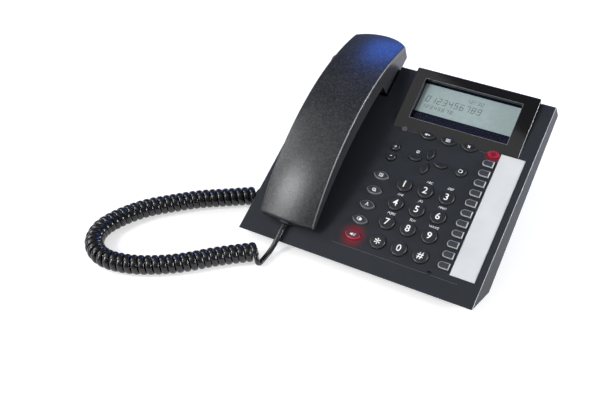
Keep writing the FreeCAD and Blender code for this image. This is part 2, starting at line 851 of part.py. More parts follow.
def build_loudspeaker():
    """A flat basket under the plate with its magnet behind."""
    basket_thick = S.speaker_thick * 0.4
    bottom = -S.top_plate - S.speaker_thick
    basket = part_disc("speaker_basket", S.speaker_radius, basket_thick,
                       (S.handset_across, S.speaker_up, -S.top_plate - basket_thick))
    magnet = part_disc("speaker_magnet", S.speaker_radius / 2, S.speaker_thick,
                       (S.handset_across, S.speaker_up, bottom))
    speaker = doc.addObject("Part::MultiFuse", "loudspeaker")
    speaker.Shapes = [basket, magnet]
    keep("loudspeaker", speaker, SLOPE)


def build_hook_button():
    """The round button in the cradle that the resting handset holds down."""
    body = new_body("hook_button")
    foot = -S.mouth_seat_depth - S.hook_length
    stem = new_sketch(body, "stem_outline", lift=foot)
    draw_circle(stem, ZERO, ZERO, S.hook_radius)
    pad(body, "stem", stem, S.hook_length)
    lip = new_sketch(body, "lip_outline", lift=foot)
    draw_circle(lip, ZERO, ZERO, S.hook_radius + S.key_lip * 2)
    pad(body, "lip", lip, S.lip_thick)
    keep("hook_button", body, on_slope(S.handset_across, S.hook_up))


def inner_face(up):
    """The lower cover's upper face, as a height out of the slope's face."""
    return -underside(up) + S.wall


def jack_bottom(up, side):
    return inner_face(up + side / 2) + S.plug_gap


def build_jack(name, across, up, side, tall, hole):
    """One socket block on the lower cover, open downwards."""
    wide, long, deep = hole
    bottom = jack_bottom(up, side)
    block = part_box(name + "_block", side, side, tall, (across - side / 2, up - side / 2, bottom))
    hole_box = part_box(name + "_hole", wide, long, deep + MARGIN,
                        (across - wide / 2, up - long / 2, bottom - MARGIN))
    return part_cut(name, block, hole_box)


def build_sockets():
    gap = S.plug_gap * 2
    handset_jack = build_jack("handset_jack", S.jack_across, S.jack_up, S.jack_side, S.jack_tall,
                              (S.plug_wide + gap, S.plug_thick + gap, S.jack_deep + S.plug_gap))
    line_jack = build_jack("line_jack", S.line_jack_across, S.line_jack_up, S.line_jack_side,
                           S.line_jack_tall, (S.line_hole_wide, S.line_hole_long, S.line_hole_deep))
    keep("modular_sockets", part_group("sockets", [handset_jack, line_jack]), SLOPE)
    top = jack_bottom(S.jack_up, S.jack_side) + S.jack_deep
    plug = part_box("base_plug", S.plug_wide, S.plug_thick, S.base_plug_length,
                    (S.jack_across - S.plug_wide / 2, S.jack_up - S.plug_thick / 2,
                     top - S.base_plug_length))
    keep("base_plug", plug, SLOPE.multiply(plug.Placement))


def build_screws():
    screws = []
    for number, (across, up) in enumerate(screw_places(), start=1):
        face = -underside(up) - S.snug_gap
        head = part_disc(f"screw_head_{number}", S.screw_head_radius, S.screw_head_thick,
                         (across, up, face - S.screw_head_thick))
        shank = part_disc(f"screw_shank_{number}", S.screw_radius - S.plug_gap / 2,
                          S.screw_length, (across, up, face - S.screw_head_thick / 2))
        screw = doc.addObject("Part::MultiFuse", f"screw_{number}")
        screw.Shapes = [head, shank]
        screws.append(screw)
    keep("housing_screws", part_group("screws", screws), SLOPE)


def underside_corner(up, depth):
    """A point of the underside's line seen from the side: behind the front tip, above the floor."""
    back = up * cosine(S.base_tilt) + depth * sine(S.base_tilt)
    height = S.tip_height + up * sine(S.base_tilt) - depth * cosine(S.base_tilt)
    return back, height


def underside_height(back):
    """How high the sloping underside is above the floor, this far behind the front tip."""
    front_back, front_height = underside_corner(S.front_run, S.front_depth)
    rear_back, rear_height = underside_corner(S.base_length, S.rear_depth)
    climb = (rear_height - front_height) / (rear_back - front_back)
    return front_height + (back - front_back) * climb


def build_stand():
    """A hollow leg under the rear that holds the base on its slope."""
    body = new_body("desk_stand")
    side = new_sketch(body, "side_outline", "YZ_Plane", S.stand_inset)
    draw_outline(side, [(S.stand_toe, S.pad_thick), (S.stand_heel, S.pad_thick),
                        (S.stand_back, underside_height(S.stand_back)),
                        (S.stand_front, underside_height(S.stand_front))])
    wide = S.base_width - S.stand_inset * 2
    pad(body, "block", side, wide)
    hollow = new_sketch(body, "hollow_outline", "YZ_Plane", S.stand_inset + S.stand_wall)
    front = S.stand_front - MARGIN
    back = S.stand_back - S.stand_wall
    thick = S.stand_wall / cosine(S.base_tilt)
    draw_outline(hollow, [(front, S.pad_thick - MARGIN), (S.stand_heel - S.stand_wall, S.pad_thick - MARGIN),
                          (back, underside_height(back) - thick),
                          (front, underside_height(front) - thick)])
    pocket(body, "hollow", hollow, wide - S.stand_wall * 2, upward=True)
    keep("desk_stand", body, FLOOR)


def build_feet():
    """Two wedge feet under the front and two flat pads under the stand."""
    feet = []
    places = (S.foot_inset, S.base_width - S.foot_inset - S.foot_wide)
    back = S.foot_front + S.foot_length
    for number, across in enumerate(places, start=1):
        body = new_body(f"front_foot_{number}")
        side = new_sketch(body, "side_outline", "YZ_Plane", across)
        draw_outline(side, [(S.foot_front, ZERO), (back, ZERO), (back, underside_height(back)),
                            (S.foot_front, underside_height(S.foot_front))])
        pad(body, "wedge", side, S.foot_wide)
        feet.append(body)
    places = (S.stand_inset, S.base_width - S.stand_inset - S.foot_wide)
    for number, across in enumerate(places, start=1):
        feet.append(part_box(f"rear_foot_{number}", S.foot_wide, S.stand_heel - S.stand_toe,
                             S.pad_thick, (across, S.stand_toe, ZERO)))
    keep("rubber_feet", part_group("feet", feet), FLOOR)


# The handset, in a frame that stands on the slope at the handset's middle

HANDSET = on_slope(S.handset_across, ZERO)


def arc_height(up, middle, top, radius):
    offset = up - middle
    return top - radius + root(radius * radius - offset * offset)


def crest(up, sunk=ZERO):
    """The arched back of the handset, or a line sunk below it."""
    return arc_height(up, S.crest_up, S.crest_height - sunk, S.crest_radius - sunk)


def seam(up):
    return crest(up, S.seam_drop)


def arch(up, inside=ZERO):
    """The hollow side of the handle, or a line inside it."""
    return arc_height(up, S.arch_up, S.arch_height + inside, S.arch_radius + inside)


def trim_ends(body):
    """Cuts the handset's bowed ends and rounds its four upright corners."""
    half = S.handset_half_width
    outside = half * 2
    front = S.handset_front + S.handset_front_bow
    back = S.handset_back - S.handset_back_bow
    plan = new_sketch(body, "plan_outline", lift=outside)
    draw_box(plan, -outside, ZERO, outside, S.handset_back + half)
    front_radius = bow_radius(half, S.handset_front_bow)
    back_radius = bow_radius(half, S.handset_back_bow)
    draw_outline(plan, [(-half, front), (half, front), (half, back), (-half, back)],
                 {0: (front_radius, False), 2: (back_radius, False)})
    pocket(body, "bowed_ends", plan, outside * 2)
    round_edges(body, "round_corners",
                lambda edge: edge.BoundBox.XLength + edge.BoundBox.YLength < 0.01,
                S.handset_corner_round)


def bow_radius(half, bow):
    return (half * half + bow * bow) / (bow * 2)


def build_outer_shell():
    body = new_body("handset_outer_shell")
    half = S.handset_half_width
    front = S.handset_front
    back = S.handset_back
    side = new_sketch(body, "side_outline", "YZ_Plane", -half)
    draw_outline(side, [(front, seam(front)), (back, seam(back)),
                        (back, crest(back)), (front, crest(front))],
                 {0: (S.crest_radius - S.seam_drop, True), 2: (S.crest_radius, False)})
    pad(body, "bar", side, half * 2)
    trim_ends(body)
    crest_centre = SIZES["crest_height"] - SIZES["crest_radius"]

    def on_crest(edge):
        spots = [edge.valueAt(edge.FirstParameter), edge.valueAt(edge.LastParameter)]
        reach = [math.hypot(spot.y - SIZES["crest_up"], spot.z - crest_centre) for spot in spots]
        return all(abs(length - SIZES["crest_radius"]) < 0.01 for length in reach)

    round_edges(body, "round_rim", on_crest, S.handset_edge_round)
    inner_front = front + S.handset_front_bow + S.shell
    inner_back = back - S.handset_back_bow - S.shell
    low = -S.handset_half_width
    hollow = new_sketch(body, "hollow_outline", "YZ_Plane", -half + S.shell)
    draw_outline(hollow, [(inner_front, low), (inner_back, low),
                          (inner_back, crest(inner_back, S.shell)),
                          (inner_front, crest(inner_front, S.shell))],
                 {2: (S.crest_radius - S.shell, False)})
    pocket(body, "hollow", hollow, (half - S.shell) * 2, upward=True)
    keep("handset_outer_shell", body, HANDSET)


def build_inner_shell():
    """The handle's underside with the deep ear block and the small mouth block."""
    body = new_body("handset_inner_shell")
    half = S.handset_half_width
    front = S.handset_front
    back = S.handset_back
    ear_low = -S.ear_seat_depth + S.seat_gap
    mouth_low = -S.mouth_seat_depth + S.seat_gap
    side = new_sketch(body, "side_outline", "YZ_Plane", -half)
    draw_outline(side, [(front, arch(front)), (S.ear_block_front, arch(S.ear_block_front)),
                        (S.ear_block_foot, ear_low), (back, ear_low),
                        (back, seam(back)), (front, seam(front))],
                 {0: (S.arch_radius, True), 4: (S.crest_radius - S.seam_drop, False)})
    pad(body, "bar", side, half * 2)
    trim_ends(body)
    mouth = new_sketch(body, "mouth_block_outline", "YZ_Plane", -S.mouth_block_half_width)
    draw_outline(mouth, [(S.mouth_block_front, mouth_low), (S.mouth_block_back, mouth_low),
                         (S.mouth_block_back, arch(S.mouth_block_back, MARGIN)),
                         (S.mouth_block_front, arch(S.mouth_block_front, MARGIN))])
    pad(body, "mouth_block", mouth, S.mouth_block_half_width * 2)
    cavity_front = front + S.plug_length + S.shell
    cavity_back = back - S.handset_back_bow - S.shell
    step = S.ear_block_front + S.shell
    cavity = new_sketch(body, "cavity_outline", "YZ_Plane", -half + S.shell)
    draw_outline(cavity, [(cavity_front, arch(cavity_front, S.shell)), (step, arch(step, S.shell)),
                          (S.ear_block_foot + S.shell, ear_low + S.shell),
                          (cavity_back, ear_low + S.shell), (cavity_back, S.crest_height),
                          (cavity_front, S.crest_height)],
                 {0: (S.arch_radius + S.shell, True)})
    pocket(body, "cavity", cavity, (half - S.shell) * 2, upward=True)
    reach = S.mouth_capsule_radius + MARGIN
    mouth_cavity = new_sketch(body, "mouth_cavity_outline", lift=mouth_low + S.shell)
    draw_box(mouth_cavity, -reach, S.mouth_capsule_up - reach, reach, S.mouth_capsule_up + reach)
    pocket(body, "mouth_cavity", mouth_cavity, S.crest_height, upward=True)
    plug_half = S.plug_wide / 2 + S.plug_gap
    plug_hole = new_sketch(body, "plug_hole_outline", "XZ_Plane", MARGIN - front)
    draw_box(plug_hole, -S.plug_shift - plug_half, S.plug_low - S.plug_gap,
             -S.plug_shift + plug_half, S.plug_low + S.plug_thick + S.plug_gap)
    pocket(body, "plug_hole", plug_hole, S.plug_length + MARGIN - S.plug_proud + S.plug_gap)
    sound = new_sketch(body, "sound_hole_outlines", lift=ear_low - MARGIN)
    draw_circle(sound, ZERO, S.ear_capsule_up, S.sound_hole_radius)
    draw_circle(sound, ZERO, S.mouth_capsule_up, S.sound_hole_radius)
    for number in range(6):
        angle = math.radians(60 * number)
        draw_circle(sound, S.sound_ring_radius * math.cos(angle),
                    S.ear_capsule_up + S.sound_ring_radius * math.sin(angle), S.sound_hole_radius)
    pocket(body, "sound_holes", sound, mouth_low - ear_low + S.shell + MARGIN * 2, upward=True)
    keep("handset_inner_shell", body, HANDSET)


def build_handset_parts():
    ear = part_disc("ear_capsule", S.ear_capsule_radius, S.ear_capsule_thick,
                    (ZERO, S.ear_capsule_up, S.seat_gap - S.ear_seat_depth + S.shell))
    mouth = part_disc("mouth_capsule", S.mouth_capsule_radius, S.mouth_capsule_thick,
                      (ZERO, S.mouth_capsule_up, S.seat_gap - S.mouth_seat_depth + S.shell))
    keep("handset_capsules", part_group("capsules", [ear, mouth]), HANDSET)
    plug = part_box("handset_plug", S.plug_wide, S.plug_length, S.plug_thick,
                    (-S.plug_shift - S.plug_wide / 2, S.handset_front - S.plug_proud, S.plug_low))
    keep("handset_plug", plug, HANDSET.multiply(plug.Placement))


# The cord: its routes are lists of points in the part's frame

LEAD_ROUTE = [(-66.6, -99.9, 14.9), (-67.0, -104.4, 11.8), (-67.7, -108.8, 8.4),
              (-68.6, -113.0, 5.6), (-69.5, -117.2, 3.7), (-70.2, -121.0, 2.6),
              (-70.6, -124.3, 2.15), (-70.8, -127.5, 2.15), (-71.0, -129.9, 4.65)]
COIL_ROUTE = [(-78.0, -122.6), (-101.8, -140.9), (-122.2, -162.1), (-144.6, -177.4),
              (-164.7, -186.1), (-185.4, -188.5), (-202.1, -178.8), (-209.4, -161.0),
              (-204.1, -140.5), (-191.9, -118.6), (-174.2, -101.4), (-156.2, -84.8),
              (-135.2, -71.1), (-115.2, -57.3)]
TAIL_ROUTE = [(-119.2, -38.9, 2.15), (-113.7, -33.1, 2.4), (-106.0, -31.0, 3.3),
              (-97.8, -30.2, 4.6), (-90.2, -29.2, 6.4), (-83.5, -28.0, 8.6)]


def spline_points(route, steps):
    """Points along the soft curve that the route's corners pull: straight only at its ends."""
    corners = [Vector(*point) for point in route]
    joints = [corners[0]]
    joints += [(one + two) * 0.5 for one, two in zip(corners[1:-2], corners[2:-1])]
    joints.append(corners[-1])
    points = []
    for start, corner, end in zip(joints[:-1], corners[1:-1], joints[1:]):
        for step in range(steps):
            part = step / steps
            points.append(start * (1 - part) ** 2 + corner * (2 * part * (1 - part)) + end * part ** 2)
    points.append(joints[-1])
    return points


def coil_strand():
    """A function that gives the strand's middle and direction at a share of the coil's length."""
    height = SIZES["coil_diameter"] / 2 + SIZES["floor_gap"]
    radius = (SIZES["coil_diameter"] - SIZES["strand"]) / 2
    line = spline_points([(x, y, height) for x, y in COIL_ROUTE], 40)
    lengths = [0.0]
    for one, two in zip(line[:-1], line[1:]):
        lengths.append(lengths[-1] + one.distanceToPoint(two))
    total = lengths[-1]

    def middle(share):
        reach = min(max(share, 0.0), 1.0) * total
        index = 1
        while index < len(lengths) - 1 and lengths[index] < reach:
            index += 1
        span = lengths[index] - lengths[index - 1]
        part = (share * total - lengths[index - 1]) / span
        return line[index - 1] + (line[index] - line[index - 1]) * part

    def place(share):
        step = 0.004
        along = (middle(share + step) - middle(share - step)).normalize()
        side = Vector(-along.y, along.x, 0)
        turn = math.radians(SIZES["first_curl_angle"]) + 2 * math.pi * SIZES["curl_count"] * share
        return middle(share) + side * (radius * math.cos(turn)) + Vector(0, 0, radius * math.sin(turn))

    def heading(share):
        step = 0.00002
        return (place(share + step) - place(share - step)).normalize()

    return place, heading, total


def curve_through(start, corner, end):
    """The arc that leaves start and reaches end along the two lines through the corner."""
    middle = (start + end) * 0.5
    rise = corner - middle
    half_chord = start.distanceToPoint(end) / 2
    lean = math.atan2(rise.Length, half_chord)
    if lean < 1e-4:
        return Part.LineSegment(start, end).toShape(), float("inf")
    top = middle + rise * (half_chord * math.tan(lean / 2) / rise.Length)
    return Part.Arc(start, top, end).toShape(), half_chord / math.sin(lean)


def biarc(start, start_way, end, end_way):
    """Two arcs that join smoothly and follow both directions."""
    chord = end - start
    ways = start_way + end_way
    ease = 2 * (1 - start_way.dot(end_way))
    along = chord.dot(ways)
    reach = (-along + math.sqrt(along ** 2 + ease * chord.dot(chord))) / ease
    first = start + start_way * reach
    second = end - end_way * reach
    joint = (first + second) * 0.5
    return [curve_through(start, first, joint), curve_through(joint, second, end)]


def sweep_strand(edges, start, way):
    """The round strand along a chain of edges."""
    ring = Part.Circle(start, way, SIZES["strand"] / 2).toShape()
    return Part.Wire(edges).makePipeShell([Part.Wire([ring])], True, False)


def check_strand(label, shape, edges, radii):
    length = sum(edge.Length for edge in edges)
    section = math.pi * (SIZES["strand"] / 2) ** 2
    print(f"{label}: length {length:.1f} mm, least radius {min(radii):.2f} mm,"
          f" volume over section times length {shape.Volume / (section * length):.4f}")
    if len(radii) < 12:
        print(f"{label}: radii", [round(radius, 1) for radius in radii])


def cord_body(label, shape):
    solid = doc.addObject("Part::Feature", label)
    solid.Shape = shape
    keep(label, solid, Placement())


def build_coil(place, heading):
    """The curls as one unbroken strand, straight for one strand's width at both ends."""
    quarters = int(SIZES["curl_count"] * 4)
    spots = [place(index / quarters) for index in range(quarters + 1)]
    ways = [heading(index / quarters) for index in range(quarters + 1)]
    start = spots[0] - ways[0] * SIZES["strand"]
    end = spots[-1] + ways[-1] * SIZES["strand"]
    edges = [Part.LineSegment(start, spots[0]).toShape()]
    radii = []
    for index in range(quarters):
        for edge, radius in biarc(spots[index], ways[index], spots[index + 1], ways[index + 1]):
            edges.append(edge)
            radii.append(radius)
    edges.append(Part.LineSegment(spots[-1], end).toShape())
    shape = sweep_strand(edges, start, ways[0])
    check_strand("cord_curls", shape, edges, radii)
    print(f"cord_curls: least gap to itself {least_gap(place):.2f} mm")
    cord_body("cord_curls", shape)
    return (start, ways[0]), (end, ways[-1])


def least_gap(place):
    """The smallest distance between neighbouring curls, less the strand's width."""
    per_curl = 24
    count = int(SIZES["curl_count"] * per_curl)
    spots = [place(index / count) for index in range(count + 1)]
    nearest = min(spots[index].distanceToPoint(spots[other])
                  for index in range(count)
                  for other in range(index + per_curl // 2, min(index + per_curl * 3 // 2, count)))
    return nearest - SIZES["strand"]


def build_lead(label, points):
    """A free stretch: straight runs joined by arcs as wide as the runs allow."""
    edges = []
    radii = []
    here = points[0]
    for before, corner, after in zip(points[:-2], points[1:-1], points[2:]):
        into = (corner - before).normalize()
        out = (after - corner).normalize()
        turn = math.acos(max(-1.0, min(1.0, into.dot(out))))
        shorter = min(before.distanceToPoint(corner), corner.distanceToPoint(after))
        first = corner - into * (shorter * 0.45)
        last = corner + out * (shorter * 0.45)
        edges.append(Part.LineSegment(here, first).toShape())
        edge, radius = curve_through(first, corner, last)
        edges.append(edge)
        radii.append(radius)
        print(f"{label}: turn {math.degrees(turn):.0f} degrees, radius {radius:.1f} mm")
        here = last
    edges.append(Part.LineSegment(here, points[-1]).toShape())
    shape = sweep_strand(edges, points[0], (points[1] - points[0]).normalize())
    check_strand(label, shape, edges, radii)
    cord_body(label, shape)


def build_cord():
    place, heading, total = coil_strand()
    print(f"coil: {total:.1f} mm along its middle, pitch {total / SIZES['curl_count']:.2f} mm")
    coil_start, coil_end = build_coil(place, heading)
    plug_middle = SIZES["plug_low"] + SIZES["plug_thick"] / 2
    plug_face = SIZES["handset_front"] - SIZES["plug_proud"]
    lead_start = HANDSET.multVec(Vector(-SIZES["plug_shift"], plug_face, plug_middle))
    strand = SIZES["strand"]
    plug_way = HANDSET.Rotation.multVec(Vector(0, -1, 0))
    lead = [lead_start, lead_start + plug_way * (strand * 1.35)]
    lead += [Vector(*point) for point in LEAD_ROUTE]
    lead += [coil_start[0] - coil_start[1] * (strand * 0.9), coil_start[0]]
    build_lead("handset_lead", lead)
    top = jack_bottom(S.jack_up, S.jack_side) + S.jack_deep
    tail_end = SLOPE.multVec(Vector(SIZES["jack_across"], SIZES["jack_up"],
                                    top.value - SIZES["base_plug_length"]))
    jack_way = SLOPE.Rotation.multVec(Vector(0, 0, 1))
    tail = [coil_end[0], coil_end[0] + coil_end[1] * (strand * 2)]
    tail += [Vector(*point) for point in TAIL_ROUTE]
    tail += [tail_end - jack_way * (strand * 2), tail_end]
    build_lead("base_lead", tail)


build_upper_housing()
build_lower_housing()
for key in KEYS:
    build_key(*key)
build_volume_rocker()
build_lamps()
build_display()
build_keypad_mat()
build_board()
build_label_card()
build_loudspeaker()
build_hook_button()
build_sockets()
build_screws()
build_stand()
build_feet()
build_outer_shell()
build_inner_shell()
build_handset_parts()
build_cord()
doc.recompute()

for item in doc.Objects:
    if "Invalid" in item.State or "Error" in item.State:
        raise ValueError(f"{item.Label} failed: {item.State}")
for label, item in nodes.items():
    if item.Shape.isNull() or not item.Shape.isValid():
        raise ValueError(f"{label} has no sound shape")

os.makedirs("parts", exist_ok=True)
for label, item in nodes.items():
    item.Shape.exportStep(f"parts/{label}.step")
print(f"{len(nodes)} pieces written")
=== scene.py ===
"""A corded desk telephone on a white sweep, seen from its right front corner."""
import json
import math

import bpy
from mathutils import Matrix, Vector


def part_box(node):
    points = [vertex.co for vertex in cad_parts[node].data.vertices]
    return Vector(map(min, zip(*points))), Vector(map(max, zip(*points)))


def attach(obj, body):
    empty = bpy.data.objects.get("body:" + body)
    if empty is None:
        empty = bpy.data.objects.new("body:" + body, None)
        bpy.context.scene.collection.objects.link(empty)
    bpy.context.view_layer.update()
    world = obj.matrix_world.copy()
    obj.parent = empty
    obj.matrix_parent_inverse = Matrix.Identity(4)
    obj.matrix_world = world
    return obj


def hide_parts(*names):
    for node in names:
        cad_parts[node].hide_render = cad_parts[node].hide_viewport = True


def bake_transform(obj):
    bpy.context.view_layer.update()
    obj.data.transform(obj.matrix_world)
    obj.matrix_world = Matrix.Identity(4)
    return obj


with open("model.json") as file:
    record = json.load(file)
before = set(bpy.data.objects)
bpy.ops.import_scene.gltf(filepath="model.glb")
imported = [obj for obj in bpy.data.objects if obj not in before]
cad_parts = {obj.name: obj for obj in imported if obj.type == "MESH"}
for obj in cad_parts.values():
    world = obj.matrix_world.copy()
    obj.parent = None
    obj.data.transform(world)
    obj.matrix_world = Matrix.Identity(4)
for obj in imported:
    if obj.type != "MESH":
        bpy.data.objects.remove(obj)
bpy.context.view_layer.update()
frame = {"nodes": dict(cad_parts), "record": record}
scene = bpy.context.scene
MM = 0.001

# The base's sloping face: x across from its left edge, y up the slope, z out of the face
SLOPE_ANGLE = math.radians(25)
SLOPE = (Matrix.Translation((-0.105, -0.1027, 0.010))
         @ Matrix.Rotation(SLOPE_ANGLE, 4, "X"))
FACE_OUT = Vector((0, -math.sin(SLOPE_ANGLE), math.cos(SLOPE_ANGLE)))
# The display's own slanted face, hinged at its front edge
DISPLAY = (SLOPE @ Matrix.Translation((0, 0.137, 0))
           @ Matrix.Rotation(math.radians(5.1), 4, "X"))


# Camera

# The columns are the ways to the right of, up from and behind the lens
LENS_AXES = Matrix(((0.8807, -0.2974, 0.3688), (0.4737, 0.5528, -0.6855), (0.0, 0.7784, 0.6277)))
CAMERA_SPOT = (0.22627, -0.60799, 0.52164)
camera_data = bpy.data.cameras.new("desk_camera")
camera_data.lens = 55.40
camera_data.sensor_width = 36
camera = bpy.data.objects.new("desk_camera", camera_data)
camera.matrix_world = Matrix.Translation(CAMERA_SPOT) @ LENS_AXES.to_4x4()
scene.collection.objects.link(camera)
scene.camera = camera


# Cord

STRAND = 0.0039
CURLS = 53.62
CURL_RADIUS = 0.0067
CURL_STEPS = 24
FIRST_TURN = math.pi / 4
# How wide and how thin the flattened strand is in the curls and in the handset's lead
CURL_SECTION = (0.0054, 0.0031)
LEAD_SECTION = (0.0046, 0.0033)
# Small steps along the coil, as shares of its length, that give its way and its ends' ways
WAY_STEP = 0.004
END_STEP = 0.00005
# From the base plug's middle down to where the cord leaves it
PLUG_FOOT = 0.006
# The routes are in millimetres
COIL_HEIGHT = 8.7
LEAD_ROUTE = [(-66.8, -90.75, 19.87), (-66.8, -95.53, 17.65), (-66.6, -99.9, 14.9), (-67.0, -104.4, 11.8),
              (-67.7, -108.8, 8.4), (-68.6, -113.0, 5.6), (-69.5, -117.2, 3.7), (-70.2, -121.0, 2.6),
              (-70.6, -124.3, 2.15), (-70.8, -127.5, 2.15), (-71.0, -129.9, 4.65)]
COIL_ROUTE = [(-78.0, -122.6), (-101.8, -140.9), (-122.2, -162.1), (-144.6, -177.4),
              (-164.7, -186.1), (-185.4, -188.5), (-202.1, -178.8), (-209.4, -161.0),
              (-204.1, -140.5), (-191.9, -118.6), (-174.2, -101.4), (-156.2, -84.8),
              (-135.2, -71.1), (-115.2, -57.3)]
TAIL_ROUTE = [(-119.2, -38.9, 2.15), (-113.7, -33.1, 2.4), (-106.0, -31.0, 3.3),
              (-97.8, -30.2, 4.6), (-90.2, -29.2, 6.4), (-83.5, -28.0, 8.6)]


def soft_line(points):
    """Points read from one smooth curve that is drawn by the route."""
    curve = bpy.data.curves.new("route", "CURVE")
    curve.dimensions = "3D"
    spline = curve.splines.new("NURBS")
    spline.points.add(len(points) - 1)
    for control, point in zip(spline.points, points):
        control.co = (*point, 1)
    spline.order_u = 3
    spline.use_endpoint_u = True
    spline.resolution_u = 16
    holder = bpy.data.objects.new("route", curve)
    scene.collection.objects.link(holder)
    bpy.context.view_layer.update()
    mesh = bpy.data.meshes.new_from_object(holder)
    line = [vertex.co.copy() for vertex in mesh.vertices]
    bpy.data.objects.remove(holder)
    return line


def tube(name, line, sides, wide, thin, outward=None):
    """A closed, slightly flattened strand that follows the line."""
    verts = []
    faces = []
    side = Vector((1, 0, 0))
    for index, spot in enumerate(line):
        way = (line[min(index + 1, len(line) - 1)] - line[max(index - 1, 0)]).normalized()
        if outward:
            side = outward[index].cross(way)
        side = (side - way * side.dot(way)).normalized()
        up = way.cross(side)
        for corner in range(sides):
            angle = 2 * math.pi * corner / sides
            verts.append(spot + side * (math.cos(angle) * wide / 2) + up * (math.sin(angle) * thin / 2))
    for ring in range(len(line) - 1):
        for corner in range(sides):
            following = (corner + 1) % sides
            faces.append((ring * sides + corner, ring * sides + following,
                          (ring + 1) * sides + following, (ring + 1) * sides + corner))
    faces.append(tuple(range(sides))[::-1])
    faces.append(tuple(range(len(verts) - sides, len(verts))))
    mesh = bpy.data.meshes.new(name)
    mesh.from_pydata(verts, [], faces)
    mesh.shade_smooth()
    strand = bpy.data.objects.new(name, mesh)
    scene.collection.objects.link(strand)
    return strand


def curl_line(route):
    """The strand's line as it winds steadily round the route, the ways out, and its ends' ways."""
    line = soft_line(route)
    reach = [0.0]
    for one, two in zip(line[:-1], line[1:]):
        reach.append(reach[-1] + (two - one).length)

    def middle(share):
        want = min(max(share, 0), 1) * reach[-1]
        index = 1
        while index < len(reach) - 1 and reach[index] < want:
            index += 1
        part = (share * reach[-1] - reach[index - 1]) / (reach[index] - reach[index - 1])
        return line[index - 1].lerp(line[index], part)

    def curl(share):
        """A point of the strand's line, and the way out from the curls' middle there."""
        way = (middle(share + WAY_STEP) - middle(share - WAY_STEP)).normalized()
        turn = FIRST_TURN + 2 * math.pi * CURLS * share
        out = Vector((-way.y, way.x, 0)) * math.cos(turn) + Vector((0, 0, math.sin(turn)))
        return middle(share) + out * CURL_RADIUS, out

    steps = round(CURLS * CURL_STEPS)
    curls, outward = zip(*[curl(step / steps) for step in range(steps + 1)])
    start_way = (curl(END_STEP)[0] - curls[0]).normalized()
    end_way = (curls[-1] - curl(1 - END_STEP)[0]).normalized()
    curls = [curls[0] - start_way * STRAND, *curls, curls[-1] + end_way * STRAND]
    return curls, [outward[0], *outward, outward[-1]], start_way, end_way


curls, outward, start_way, end_way = curl_line([(x * MM, y * MM, COIL_HEIGHT * MM) for x, y in COIL_ROUTE])
lead_line = soft_line([Vector(point) * MM for point in LEAD_ROUTE]
                      + [curls[0] - start_way * (STRAND * 0.9), curls[0]])
tail_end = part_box("base_plug")
plug_middle = (tail_end[0] + tail_end[1]) / 2
plug_foot = plug_middle - FACE_OUT * PLUG_FOOT
tail_line = soft_line([curls[-1], curls[-1] + end_way * (STRAND * 2)]
                      + [Vector(point) * MM for point in TAIL_ROUTE]
                      + [plug_foot - FACE_OUT * (STRAND * 2), plug_foot])

cord_curls = tube("curly_cord", curls, 20, *CURL_SECTION, outward)
cord_lead = tube("handset_cord_end", lead_line, 20, *LEAD_SECTION)
cord_tail = tube("base_cord_end", tail_line, 16, STRAND, STRAND)
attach(cord_curls, "base")
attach(cord_tail, "base")
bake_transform(cord_lead)
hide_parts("cord_curls")
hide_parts("handset_lead")
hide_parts("base_lead")


# Finishes

def new_group(name, inputs, outputs):
    """A shader group with named sockets; inputs give their kind and starting value."""
    group = bpy.data.node_groups.new(name, "ShaderNodeTree")
    for label, kind, value in inputs:
        socket = group.interface.new_socket(label, in_out="INPUT", socket_type="NodeSocket" + kind)
        socket.default_value = value
    for label, kind in outputs:
        group.interface.new_socket(label, in_out="OUTPUT", socket_type="NodeSocket" + kind)
    return group, group.nodes.new("NodeGroupInput"), group.nodes.new("NodeGroupOutput")


def wire(tree, source, target):
    """Links an output to an input."""
    tree.links.new(source, target)


def feed(tree, socket, value):
    """Wires an output to the socket, or sets a plain value on it."""
    if isinstance(value, bpy.types.NodeSocket):
        wire(tree, value, socket)
    else:
        socket.default_value = value


def calc(tree, operation, *values):
    """The outcome of one math step on outputs and plain numbers."""
    step = tree.nodes.new("ShaderNodeMath")
    step.operation = operation
    for socket, value in zip(step.inputs, values):
        feed(tree, socket, value)
    return step.outputs["Value"]


def span(tree, value, dark, white, low=0.0, high=1.0):
    """A value spread from low at the dark limit to high at the white one."""
    ramp = tree.nodes.new("ShaderNodeMapRange")
    for label, amount in (("Value", value), ("From Min", dark), ("From Max", white),
                          ("To Min", low), ("To Max", high)):
        feed(tree, ramp.inputs[label], amount)
    return ramp.outputs["Result"]


def measure(tree, operation, vector):
    """The outcome of one vector step between the surface's place and this vector."""
    place = tree.nodes.new("ShaderNodeTexCoord")
    step = tree.nodes.new("ShaderNodeVectorMath")
    step.operation = operation
    step.inputs[1].default_value = vector
    wire(tree, place.outputs["Object"], step.inputs[0])
    return step.outputs["Value"]


def rightward(tree, vector):
    """The part of a vector that points to the right."""
    split = tree.nodes.new("ShaderNodeSeparateXYZ")
    wire(tree, vector, split.inputs[0])
    return split.outputs["X"]


def noise(tree, place, scale, detail):
    """Soft noise over the piece's own coordinates."""
    cloud = tree.nodes.new("ShaderNodeTexNoise")
    cloud.inputs["Detail"].default_value = detail
    wire(tree, place.outputs["Object"], cloud.inputs["Vector"])
    feed(tree, cloud.inputs["Scale"], scale)
    return cloud.outputs["Fac"]


def lightened(tree, colour, factor):
    """A colour times a factor that changes over the surface."""
    step = tree.nodes.new("ShaderNodeVectorMath")
    step.operation = "SCALE"
    wire(tree, colour, step.inputs[0])
    wire(tree, factor, step.inputs["Scale"])
    return step.outputs["Vector"]


def bumped(tree, height, distance, strength=1.0):
    """The normals of a surface with this fine relief."""
    bump = tree.nodes.new("ShaderNodeBump")
    bump.inputs["Distance"].default_value = distance
    bump.inputs["Strength"].default_value = strength
    wire(tree, height, bump.inputs["Height"])
    return bump.outputs["Normal"]


